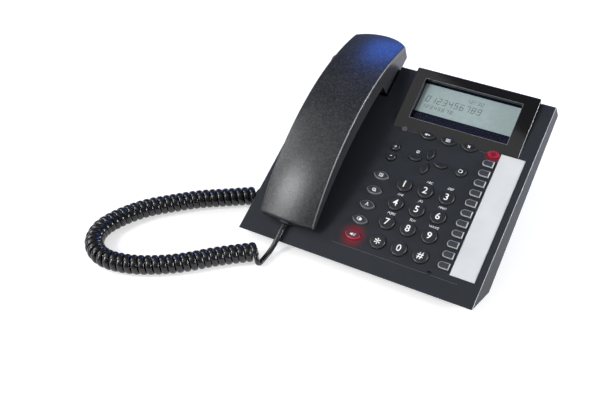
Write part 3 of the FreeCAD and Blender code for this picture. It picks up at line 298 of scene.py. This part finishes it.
def moulded_grain():
    """The fine spark-eroded grain of moulded plastic, with tiny painted glints and a cloudy tone."""
    group, given, put = new_group(
        "moulded_grain",
        [("Colour", "Color", (0.05, 0.05, 0.06, 1)), ("Glint", "Color", (0.2, 0.2, 0.22, 1)),
         ("Roughness", "Float", 0.45), ("Scale", "Float", 1800.0), ("Depth", "Float", 0.3),
         ("Sparse", "Float", 0.93), ("Crown", "Float", 0.0), ("Middle", "Float", 0.0)],
        [("Colour", "Color"), ("Roughness", "Float"), ("Normal", "Vector")])
    place = group.nodes.new("ShaderNodeTexCoord")
    fine = noise(group, place, given.outputs["Scale"], 3)
    cells = group.nodes.new("ShaderNodeTexVoronoi")
    wire(group, place.outputs["Object"], cells.inputs["Vector"])
    wire(group, given.outputs["Scale"], cells.inputs["Scale"])
    tone = group.nodes.new("ShaderNodeMix")
    tone.data_type = "RGBA"
    wire(group, span(group, cells.outputs["Color"], given.outputs["Sparse"], 1.0), tone.inputs["Factor"])
    wire(group, given.outputs["Colour"], tone.inputs["A"])
    wire(group, given.outputs["Glint"], tone.inputs["B"])
    cloudy = span(group, noise(group, place, CLOUD_SCALE, 2), 0.0, 1.0, *CLOUD_TONES)
    rough = calc(group, "MULTIPLY_ADD", fine, GRAIN_ROUGH, given.outputs["Roughness"])
    # A crowned face bends away from its middle line with the square of the distance
    across = calc(group, "SUBTRACT", rightward(group, place.outputs["Object"]), given.outputs["Middle"])
    fall = calc(group, "MULTIPLY", calc(group, "MULTIPLY", across, across), given.outputs["Crown"])
    relief = calc(group, "SUBTRACT", calc(group, "MULTIPLY", fine, given.outputs["Depth"]), fall)
    wire(group, lightened(group, tone.outputs["Result"], cloudy), put.inputs["Colour"])
    wire(group, rough, put.inputs["Roughness"])
    wire(group, bumped(group, relief, GRAIN_RELIEF), put.inputs["Normal"])
    return group


def polish():
    """Faint dust and fine hairlines on a polished face."""
    group, given, put = new_group(
        "polish",
        [("Colour", "Color", (0.02, 0.02, 0.02, 1)), ("Roughness", "Float", 0.06), ("Scale", "Float", 260.0)],
        [("Colour", "Color"), ("Roughness", "Float"), ("Normal", "Vector")])
    place = group.nodes.new("ShaderNodeTexCoord")
    smear = noise(group, place, given.outputs["Scale"], 5)
    tone = lightened(group, given.outputs["Colour"], span(group, smear, 0.0, 1.0, *SMEAR_TONES))
    rough = calc(group, "MULTIPLY_ADD", smear, SMEAR_ROUGH, given.outputs["Roughness"])
    wire(group, tone, put.inputs["Colour"])
    wire(group, rough, put.inputs["Roughness"])
    wire(group, bumped(group, smear, SMEAR_RELIEF, SMEAR_STRENGTH), put.inputs["Normal"])
    return group


# Moulded plastic: its clouds' scale and tones, and the grain's share of roughness and relief
CLOUD_SCALE = 40
CLOUD_TONES = (0.88, 1.12)
GRAIN_ROUGH = 0.14
GRAIN_RELIEF = 0.0001
# Polished faces: the smears' tones, roughness and relief
SMEAR_TONES = (0.85, 1.15)
SMEAR_ROUGH = 0.05
SMEAR_RELIEF = 0.00002
SMEAR_STRENGTH = 0.15
GRAIN = moulded_grain()
POLISH = polish()


def finish(name, group, colour, rough, **values):
    """A material whose principled shader is fed by one of the groups."""
    material = bpy.data.materials.new(name)
    material.use_nodes = True
    tree = material.node_tree
    shader = tree.nodes["Principled BSDF"]
    effect = tree.nodes.new("ShaderNodeGroup")
    effect.node_tree = group
    effect.inputs["Colour"].default_value = (*colour, 1)
    effect.inputs["Roughness"].default_value = rough
    for label, value in values.items():
        if label in effect.inputs:
            effect.inputs[label].default_value = value
        else:
            shader.inputs[label.replace("_", " ")].default_value = value
    wire(tree, effect.outputs["Colour"], shader.inputs["Base Color"])
    wire(tree, effect.outputs["Roughness"], shader.inputs["Roughness"])
    wire(tree, effect.outputs["Normal"], shader.inputs["Normal"])
    return material


def height_mask(tree, height, soft):
    """White above this height over the sloping face, or below it where soft is negative."""
    level = (SLOPE @ Vector((0, 0, height))).dot(FACE_OUT)
    return span(tree, measure(tree, "DOT_PRODUCT", FACE_OUT), level - soft, level + soft)


def near_mask(tree, spot, inner, outer, power):
    """White at this spot of the sloping face, fading to black at the outer distance."""
    away = measure(tree, "DISTANCE", SLOPE @ (Vector(spot) * MM))
    return calc(tree, "POWER", span(tree, away, outer * MM, inner * MM), power)


def rim_highlight_mask(tree, past):
    """White on the rounded right edge of a piece, beyond this distance to the right, where a highlight is
    painted.
    """
    place = tree.nodes.new("ShaderNodeTexCoord")
    facing = rightward(tree, place.outputs["Normal"])
    mask = span(tree, rightward(tree, place.outputs["Object"]), past, past + RIM_HIGHLIGHT_SOFT)
    for dark, white in RIM_HIGHLIGHT_TURNS:
        mask = calc(tree, "MULTIPLY", mask, span(tree, facing, dark, white))
    return mask


def over(tree, mask, colour):
    """Lays this colour over the base colour where the mask is white."""
    shader = tree.nodes["Principled BSDF"]
    mix = tree.nodes.new("ShaderNodeMix")
    mix.data_type = "RGBA"
    wire(tree, mask, mix.inputs["Factor"])
    wire(tree, shader.inputs["Base Color"].links[0].from_socket, mix.inputs["A"])
    mix.inputs["B"].default_value = (*colour, 1)
    wire(tree, mix.outputs["Result"], shader.inputs["Base Color"])


def printed_key(name, side, top, rough, height, foot=None, **values):
    """A key with a lighter side and a dark printed top, dark below its foot's height.
    The side is light translucent plastic, but on the black keys a painted highlight.
    """
    material = finish(name, GRAIN, side, rough, **values)
    tree = material.node_tree
    over(tree, height_mask(tree, height, TOP_SOFT), top)
    if foot:
        over(tree, height_mask(tree, foot, -FOOT_SOFT), top)
    return material


def paint_glow_spot(material, spot, inner, outer, power, colour):
    """Paints a round spot of glow in this colour on a material, its distances in millimetres."""
    over(material.node_tree, near_mask(material.node_tree, spot, inner, outer, power), colour)


def paint_rim_highlight(material, past, colour):
    """Paints a highlight of this colour on a material's rounded right edge."""
    over(material.node_tree, rim_highlight_mask(material.node_tree, past), colour)


# How softly a key's print ends at its top and at its foot
TOP_SOFT = 0.00004
FOOT_SOFT = 0.0002
# The painted rim highlight begins softly, and lies where the face has turned this far to the right
RIM_HIGHLIGHT_SOFT = 0.0001
RIM_HIGHLIGHT_TURNS = ((0.30, 0.60), (0.97, 0.85))
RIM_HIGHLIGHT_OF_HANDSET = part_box("handset_outer_shell")[1][0] - 4 * MM
RIM_HIGHLIGHT_OF_PLATE = (SLOPE @ Vector((209 * MM, 0, 0))).x
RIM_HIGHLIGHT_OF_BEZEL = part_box("display_frame")[1][0] - 1.5 * MM
# The middle line of the handset's crowned back
HANDSET_MIDDLE = -0.0643
# The red lights on the sloping face, and how far their painted glow is full and ends, in millimetres
LAMP_ROW = 136.3
SPEAKER_SPOT = (95.9, 26.9, 0.0)
RED_LAMP = (176.8, LAMP_ROW, 0.0)
RED_GLOW_SPOTS = [(SPEAKER_SPOT, 5.5, 13.5), (RED_LAMP, 4.5, 9.0)]
GLOW_POWER = 1.6

housing = finish("housing_anthracite", GRAIN, (0.027, 0.030, 0.036), 0.34, Scale=1600.0, Depth=0.22,
                 Glint=(0.05, 0.05, 0.06, 1), Specular_IOR_Level=0.12)
# Painted red glow of the lit speaker key and lamp, spread onto the housing
for spot, inner, outer in RED_GLOW_SPOTS:
    paint_glow_spot(housing, spot, inner, outer, GLOW_POWER, (0.17, 0.018, 0.03))
# Painted highlight along the base's right top edge
paint_rim_highlight(housing, RIM_HIGHLIGHT_OF_PLATE, (0.66, 0.67, 0.70))
handset_skin = finish("handset_anthracite", GRAIN, (0.013, 0.014, 0.017), 0.25, Scale=900.0, Depth=1.0,
                      Glint=(0.048, 0.050, 0.055, 1), Sparse=0.35, Crown=42000.0, Middle=HANDSET_MIDDLE)
# Painted highlight along the handset's right edge
paint_rim_highlight(handset_skin, RIM_HIGHLIGHT_OF_HANDSET, (0.12, 0.12, 0.13))
handset_under = finish("handset_satin", GRAIN, (0.022, 0.023, 0.027), 0.34, Scale=1500.0, Depth=0.2,
                       Glint=(0.05, 0.05, 0.06, 1))
# The black keys' sides are painted lighter than their tops between foot and top: a painted highlight on their
# rims
key_black_painted_rim = printed_key("key_black_painted_rim", (0.040, 0.042, 0.047), (0.012, 0.013, 0.016), 0.22,
                        height=0.00208, foot=0.0008, Scale=2500.0, Depth=0.08,
                        Glint=(0.05, 0.05, 0.055, 1))
key_oval = printed_key("key_oval_rim", (0.16, 0.17, 0.19), (0.024, 0.026, 0.030), 0.28,
                       height=0.00212, Scale=2500.0, Depth=0.08, Glint=(0.19, 0.20, 0.22, 1))
key_memory = printed_key("key_memory_rim", (0.38, 0.39, 0.41), (0.034, 0.036, 0.042), 0.28,
                         height=0.00211, foot=0.0011, Scale=2500.0, Depth=0.08,
                         Glint=(0.46, 0.47, 0.49, 1))
key_red = printed_key("key_red_lit", (0.52, 0.03, 0.075), (0.075, 0.012, 0.02), 0.28,
                      height=0.00206, Scale=2500.0, Depth=0.08, Glint=(0.6, 0.05, 0.09, 1))
bezel = finish("bezel_gloss", POLISH, (0.006, 0.006, 0.007), 0.03)
# Painted highlight along the bezel's right edge
paint_rim_highlight(bezel, RIM_HIGHLIGHT_OF_BEZEL, (0.50, 0.51, 0.54))
window = finish("window_clear", POLISH, (0.02, 0.022, 0.025), 0.02, Alpha=0.1)
card = finish("label_paper", GRAIN, (0.64, 0.66, 0.67), 0.6, Scale=900.0, Depth=0.1,
              Glint=(0.67, 0.69, 0.70, 1))
cord_gloss = finish("cord_gloss", POLISH, (0.009, 0.009, 0.011), 0.17)
plug_clear = finish("plug_smoked", POLISH, (0.05, 0.05, 0.055), 0.12)
socket_black = finish("socket_black", GRAIN, (0.015, 0.015, 0.016), 0.5, Depth=0.2)
rubber = finish("foot_rubber", GRAIN, (0.02, 0.02, 0.02), 0.75, Scale=900.0, Depth=0.5)
steel = finish("screw_steel", POLISH, (0.55, 0.56, 0.58), 0.28, Metallic=1.0)
lamp_lens = finish("lamp_lens", POLISH, (0.10, 0.10, 0.12), 0.12)
# The lit lamp's red glow painted on its lens, darker at its middle
paint_glow_spot(lamp_lens, RED_LAMP, 9.0, 9.5, 1.0, (0.40, 0.02, 0.05))
paint_glow_spot(lamp_lens, RED_LAMP, 1.4, 3.8, 1.0, (0.15, 0.012, 0.02))
board_green = finish("board_green", POLISH, (0.03, 0.16, 0.07), 0.3)
mat_grey = finish("mat_grey", GRAIN, (0.4, 0.4, 0.42), 0.6)
lcd_face = finish("lcd_face", POLISH, (0.42, 0.53, 0.54), 0.35)
mask_navy = finish("mask_navy", POLISH, (0.004, 0.006, 0.022), 0.10, Specular_IOR_Level=0.1)

paint = {"housing": housing, "handset": handset_skin, "key": key_black_painted_rim, "red_key": key_red,
         "bezel": bezel, "window": window, "display": lcd_face, "board": board_green, "mat": mat_grey,
         "card": card, "cord": cord_gloss, "plug": plug_clear, "socket": socket_black, "lamp": lamp_lens,
         "capsule": socket_black, "screw": steel, "foot": rubber}
own = {"handset_inner_shell": handset_under}
for number in range(1, 12):
    own[f"memory_key_{number}"] = key_memory
for number in range(1, 5):
    own[f"oval_key_{number}"] = key_oval


def coat(piece, material):
    """Gives a piece this material alone."""
    piece.data.materials.clear()
    piece.data.materials.append(material)


for part in frame["record"]["subparts"]:
    coat(frame["nodes"][part["node"]], own.get(part["node"], paint[part["material_slot"]]))
for strand in (cord_curls, cord_lead, cord_tail):
    coat(strand, cord_gloss)


# Print, in millimetres on the sloping face

# How thick it is, and how far its middle lies over a key or the plate
PRINT_THICK = 0.05
KEY_LIFT = 0.02
PLATE_LIFT = 0.03
ink = finish("white_print", GRAIN, (0.93, 0.94, 0.95), 0.5, Scale=3000.0, Depth=0.05,
             Glint=(0.9, 0.9, 0.92, 1))


def drop_selection():
    """Leaves edit mode, with nothing selected."""
    if bpy.context.object and bpy.context.object.mode != "OBJECT":
        bpy.ops.object.mode_set(mode="OBJECT")
    bpy.ops.object.select_all(action="DESELECT")


def settle(piece, where, body, name, material):
    """Puts a finished piece's place into its mesh and hands it to its body."""
    drop_selection()
    piece.data.transform(where @ piece.matrix_world)
    piece.matrix_world = Matrix.Identity(4)
    piece.name = name
    coat(piece, material)
    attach(piece, body)


def words(text, size, across, up, lift, slant=0.0, bold=0.0):
    """Raised print of these characters, made a mesh."""
    drop_selection()
    bpy.ops.object.text_add(location=(across * MM, up * MM, lift * MM))
    piece = bpy.context.object
    piece.data.body = text
    piece.data.size = size * MM
    piece.data.shear = slant
    piece.data.align_x = "CENTER"
    piece.data.align_y = "CENTER"
    piece.data.extrude = 0.00002
    piece.data.offset = bold * MM
    piece.data.resolution_u = 4
    bpy.ops.object.convert(target="MESH")
    return bpy.context.object


def join(pieces):
    """Makes one piece of them all."""
    drop_selection()
    for piece in pieces:
        piece.select_set(True)
    bpy.context.view_layer.objects.active = pieces[0]
    if len(pieces) > 1:
        bpy.ops.object.join()
    return bpy.context.object


def cap(name):
    """The middle and top of a key over the sloping face, in millimetres."""
    flat = SLOPE.inverted()
    spots = [flat @ vertex.co for vertex in frame["nodes"][name].data.vertices]
    low = [min(spot[axis] for spot in spots) for axis in range(3)]
    high = [max(spot[axis] for spot in spots) for axis in range(3)]
    return (low[0] + high[0]) / 2 / MM, (low[1] + high[1]) / 2 / MM, high[2] / MM


def bar(across, up, lift, wide, tall, turn=0.0, thick=PRINT_THICK):
    """A small printed bar, its middle and size, turned in degrees."""
    drop_selection()
    bpy.ops.mesh.primitive_cube_add(size=1)
    piece = bpy.context.object
    piece.data.transform(Matrix.Diagonal((wide * MM, tall * MM, thick * MM, 1)))
    piece.data.transform(Matrix.Translation((across * MM, up * MM, lift * MM))
                         @ Matrix.Rotation(math.radians(turn), 4, "Z"))
    return piece


def dot(across, up, lift, radius, corners=24, turn=0.0):
    """A small printed disc, or a triangle with three corners."""
    drop_selection()
    bpy.ops.mesh.primitive_cylinder_add(vertices=corners, radius=radius * MM, depth=PRINT_THICK * MM)
    piece = bpy.context.object
    piece.data.transform(Matrix.Translation((across * MM, up * MM, lift * MM))
                         @ Matrix.Rotation(math.radians(turn), 4, "Z"))
    return piece


def ring(across, up, lift, radius, line):
    """A small printed ring, pressed flat."""
    drop_selection()
    bpy.ops.mesh.primitive_torus_add(major_radius=radius * MM, minor_radius=line / 2 * MM,
                                     major_segments=28, minor_segments=6)
    piece = bpy.context.object
    piece.data.transform(Matrix.Translation((across * MM, up * MM, lift * MM))
                         @ Matrix.Diagonal((1, 1, 0.1, 1)))
    return piece


def book_sign(x, y, z):
    """Five bars that make the sign of a telephone book."""
    return [bar(x - 1.1, y, z, 0.4, 2.4), bar(x + 1.1, y, z, 0.4, 2.4),
            bar(x, y - 1.1, z, 2.6, 0.4), bar(x, y + 1.1, z, 2.6, 0.4), bar(x, y, z, 0.4, 2.0)]


DIAL = {"key_1": ("1", ""), "key_2": ("2", "ABC"), "key_3": ("3", "DEF"), "key_4": ("4", "GHI"),
        "key_5": ("5", "JKL"), "key_6": ("6", "MNO"), "key_7": ("7", "PQRS"), "key_8": ("8", "TUV"),
        "key_9": ("9", "WXYZ"), "key_star": ("*", ""), "key_0": ("0", ""), "key_hash": ("#", "")}
DIGIT_SIZE = 8.6
# The star is small and high in its line, so it is set larger and lower
STAR_SIZE = 12.5
STAR_DROP = 2.6
LETTER_SIZE = 2.9
LETTER_RISE = 9.2
plate_print = []
for name, (sign, letters) in DIAL.items():
    across, up, top = cap(name)
    size = STAR_SIZE if sign == "*" else DIGIT_SIZE
    drop = STAR_DROP if sign == "*" else 0.0
    digit = words(sign, size, across, up - drop, top + KEY_LIFT, bold=0.05)
    settle(digit, SLOPE, name, name + "_print", ink)
    if letters:
        plate_print.append(words(letters, LETTER_SIZE, across, up + LETTER_RISE, PLATE_LIFT, slant=0.25))
plate_print += book_sign(116.1, 118.9, PLATE_LIFT)
settle(join(plate_print), SLOPE, "base", "dial_letters", ink)

ICONS = {
    "oval_key_4": lambda x, y, z: [bar(x - 1.5, y, z, 0.45, 3.0), bar(x + 1.5, y, z, 0.45, 3.0),
                                   bar(x, y, z, 0.4, 3.0), bar(x, y + 1.3, z, 3.4, 0.45),
                                   bar(x, y - 1.3, z, 3.4, 0.45), bar(x + 0.8, y, z, 1.2, 0.4)],
    "oval_key_3": lambda x, y, z: [ring(x, y, z, 1.35, 0.55), dot(x + 1.3, y - 1.0, z, 0.9, 3, 20),
                                   dot(x, y, z, 0.45)],
    "oval_key_2": lambda x, y, z: [bar(x - 0.7, y, z, 0.5, 3.2, -18), bar(x + 0.7, y, z, 0.5, 3.2, 28),
                                   dot(x, y + 1.3, z, 0.7), bar(x, y - 0.1, z, 2.4, 0.45, 12)],
    "oval_key_1": lambda x, y, z: [dot(x + 0.5, y, z, 1.35), ring(x - 0.8, y + 0.3, z, 1.5, 0.45)],
    "speaker_key": lambda x, y, z: [bar(x - 1.4, y, z, 1.2, 1.3), dot(x - 0.5, y, z, 1.5, 3, 90),
                                    bar(x + 1.2, y, z, 0.4, 1.8, -14), bar(x + 2.1, y, z, 0.4, 2.8, -14)],
    "soft_key_left": lambda x, y, z: [bar(x + 0.6, y, z, 3.0, 0.6), dot(x - 1.2, y, z, 1.4, 3, 90)],
    "soft_key_middle": lambda x, y, z: [bar(x, y + 1.1, z, 4.0, 0.55), bar(x, y, z, 4.0, 0.55),
                                        bar(x, y - 1.1, z, 4.0, 0.55)],
    "soft_key_right": lambda x, y, z: [bar(x, y, z, 3.3, 0.6, 45), bar(x, y, z, 3.3, 0.6, -45)],
    "enter_key": lambda x, y, z: [ring(x - 0.4, y, z, 1.5, 0.4), bar(x + 1.3, y, z, 0.4, 2.6)],
    "volume_rocker": lambda x, y, z: [bar(x, y + 4.9, z, 2.7, 0.42), bar(x, y + 4.9, z, 0.42, 2.7),
                                      bar(x, y - 4.9, z, 2.7, 0.42)],
}
for name, draw in ICONS.items():
    across, up, top = cap(name)
    settle(join(draw(across, up, top + KEY_LIFT)), SLOPE, name, name + "_print", ink)

# Light dotted line along the display frame's front edge, between the lamps and the keys: a painted highlight
# on that edge
edge_highlight = finish("painted_edge_highlight", GRAIN, (0.13, 0.13, 0.15), 0.5, Scale=3000.0, Depth=0.05,
               Glint=(0.15, 0.15, 0.17, 1))
DOT_PITCH = 1.6
edge_highlight_dots = []
for left, right in ((99.6, 109.4), (126.4, 128.2), (145.2, 147.0), (164.0, 171.4)):
    count = max(round((right - left) / DOT_PITCH), 1)
    for step in range(count):
        edge_highlight_dots.append(bar(left + (step + 0.5) * (right - left) / count, LAMP_ROW, PLATE_LIFT, 0.8, 0.4))
settle(join(edge_highlight_dots), SLOPE, "base", "dotted_edge_highlight", edge_highlight)

# Pale strip laid in the groove, open at the microphone
pale = finish("pale_groove_strip", GRAIN, (0.12, 0.125, 0.135), 0.4, Scale=2500.0, Depth=0.1,
              Glint=(0.16, 0.16, 0.17, 1))
groove_strips = [bar((left + right) / 2, 16.0, -0.24, right - left, 0.6, thick=0.4)
          for left, right in ((81.9, 165.6), (168.8, 191.6))]
settle(join(groove_strips), SLOPE, "base", "groove_pale_strip", pale)

# Display, in millimetres on its own face, with its panel and mask below that face
GLASS = -6.44
MASK = -6.3
DISPLAY_MIDDLE = 139.6
SEGMENTS = {"0": "abcdef", "1": "bc", "2": "abged", "3": "abgcd", "4": "fgbc", "5": "afgcd",
            "6": "afgedc", "7": "abc", "8": "abcdefg", "9": "abcdfg"}


def seven(sign, across, up, wide, tall, line):
    """One digit of upright and level strokes, its lower left corner in millimetres."""
    half = tall / 2
    strokes = {"a": (wide / 2, tall, wide, line), "g": (wide / 2, half, wide, line),
               "d": (wide / 2, 0, wide, line), "f": (0, half * 1.5, line, half),
               "b": (wide, half * 1.5, line, half), "e": (0, half / 2, line, half),
               "c": (wide, half / 2, line, half)}
    return [bar(across + x, up + y, GLASS, w, t) for x, y, w, t in (strokes[s] for s in SEGMENTS[sign])]


lcd_ink = finish("lcd_ink", GRAIN, (0.075, 0.10, 0.10), 0.5, Scale=3000.0, Depth=0.05,
                 Glint=(0.09, 0.12, 0.12, 1))
# A line's signs, left end and pitch, its foot, and the digits' width, height and stroke
NUMBER_LINES = [("0123456789", 100.6, 5.25, 34.2, 2.9, 5.6, 0.5),
                ("12345678", 100.6, 3.7, 28.0, 1.9, 3.0, 0.35)]
CLOCK = [(134.5, "1"), (138.0, "2"), (144.0, "3"), (147.5, "0")]
# How far the digits lean to the right for their height, in metres from this height on
LEAN = 0.16
LEAN_FOOT = 0.034
marks = []
for signs, left, pitch, foot, wide, tall, line in NUMBER_LINES:
    for index, sign in enumerate(signs):
        marks += seven(sign, left + index * pitch, foot, wide, tall, line)
for left, sign in CLOCK:
    marks += seven(sign, left, 43.0, 1.9, 3.2, 0.35)
marks += [dot(142.0, up, GLASS, 0.3, corners=8) for up in (44.0, 45.6)]
digits = join(marks)
for vertex in digits.data.vertices:
    vertex.co.x += (vertex.co.y - LEAN_FOOT) * LEAN
settle(digits, DISPLAY, "base", "display_digits", lcd_ink)

edge = [bar(DISPLAY_MIDDLE, 16.9, MASK, 90.6, 11.6, thick=0.2), bar(94.9, 32.0, MASK, 1.4, 42.0, thick=0.2),
        bar(DISPLAY_MIDDLE, 52.3, MASK, 90.6, 2.2, thick=0.2)]
settle(join(edge), DISPLAY, "base", "display_mask", mask_navy)

# Pale lines round the display's opening, a painted highlight on its bevelled edge
lip_highlight_grey = finish("lip_highlight_grey", POLISH, (0.20, 0.21, 0.23), 0.25)
LIP_HIGHLIGHT_WIDTH = 0.3
lip_highlights = [bar(across, 32.2, 0.0, LIP_HIGHLIGHT_WIDTH, 40.7) for across in (95.15, 184.05)]
lip_highlights += [bar(DISPLAY_MIDDLE, up, 0.0, 89.2, LIP_HIGHLIGHT_WIDTH) for up in (11.85, 52.55)]
settle(join(lip_highlights), DISPLAY, "base", "display_lip_highlight", lip_highlight_grey)


# Studio

def panel(name, size, colour, power, place, aim):
    """A flat lamp of this width and height and power in watts, turned to its aim."""
    lamp = bpy.data.lights.new(name, "AREA")
    lamp.shape = "RECTANGLE"
    lamp.size, lamp.size_y = size
    lamp.color = colour
    lamp.energy = power
    holder = bpy.data.objects.new(name, lamp)
    holder.location = place
    holder.rotation_euler = (Vector(aim) - Vector(place)).to_track_quat("-Z", "Y").to_euler()
    scene.collection.objects.link(holder)
    return holder


WHITE = (1.0, 1.0, 1.0)
MIDDLE = (0.0, 0.0, 0.05)
panel("front_softbox", (0.45, 1.25), WHITE, 11, (-0.80, -1.15, 0.80), MIDDLE)
panel("key_lamp", (0.26, 0.26), WHITE, 8, (-0.85, -1.10, 1.15), (-0.1, -0.1, 0.03))
panel("left_softbox", (0.5, 0.7), WHITE, 6, (-1.20, -0.30, 0.80), MIDDLE)
panel("right_strip", (0.95, 0.14), (0.97, 0.98, 1.0), 12, (0.85, 0.26, 0.33), (-0.06, 0.0, 0.09))
panel("blue_lamp", (0.45, 0.45), (0.05, 0.20, 1.0), 4.2, (-0.27, 1.0, 0.72), (-0.06, 0.05, 0.12))
# The ceiling's lamp hangs level, whatever it was aimed at
ceiling = panel("ceiling_softbox", (5.0, 2.2), WHITE, 25, (-1.005, -1.137, 3.0), MIDDLE)
ceiling.rotation_euler = (0, 0, math.radians(-20.2))

# How strongly the room lights the object, while the camera sees it white
ROOM_LIGHT = 0.12
world = bpy.data.worlds.new("white_room")
world.use_nodes = True
scene.world = world
room = world.node_tree
sky = room.nodes["Background"]
path = room.nodes.new("ShaderNodeLightPath")
strength = span(room, path.outputs["Is Camera Ray"], 0.0, 1.0, ROOM_LIGHT, 1.0)
wire(room, strength, sky.inputs["Strength"])
sky.inputs["Color"].default_value = (1, 1, 1, 1)

# The floor glows enough to look white, and still takes the object's shadow
FLOOR_GLOW = 0.56
drop_selection()
bpy.ops.mesh.primitive_plane_add(size=14, location=(0, 0, 0))
floor = bpy.context.object
floor.name = "white_sweep"
paper = bpy.data.materials.new("white_sweep")
paper.use_nodes = True
tree = paper.node_tree
shader = tree.nodes["Principled BSDF"]
shader.inputs["Base Color"].default_value = (0.62, 0.62, 0.62, 1)
shader.inputs["Roughness"].default_value = 0.9
shader.inputs["Specular IOR Level"].default_value = 0.0
shader.inputs["Emission Color"].default_value = (1, 1, 1, 1)
ray = tree.nodes.new("ShaderNodeLightPath")
seen = ray.outputs["Is Camera Ray"]
for kind in ("Is Glossy Ray", "Is Transmission Ray"):
    seen = calc(tree, "MAXIMUM", seen, ray.outputs[kind])
wire(tree, calc(tree, "MULTIPLY", seen, FLOOR_GLOW), shader.inputs["Emission Strength"])
floor.data.materials.append(paper)

scene.view_settings.view_transform = "Standard"
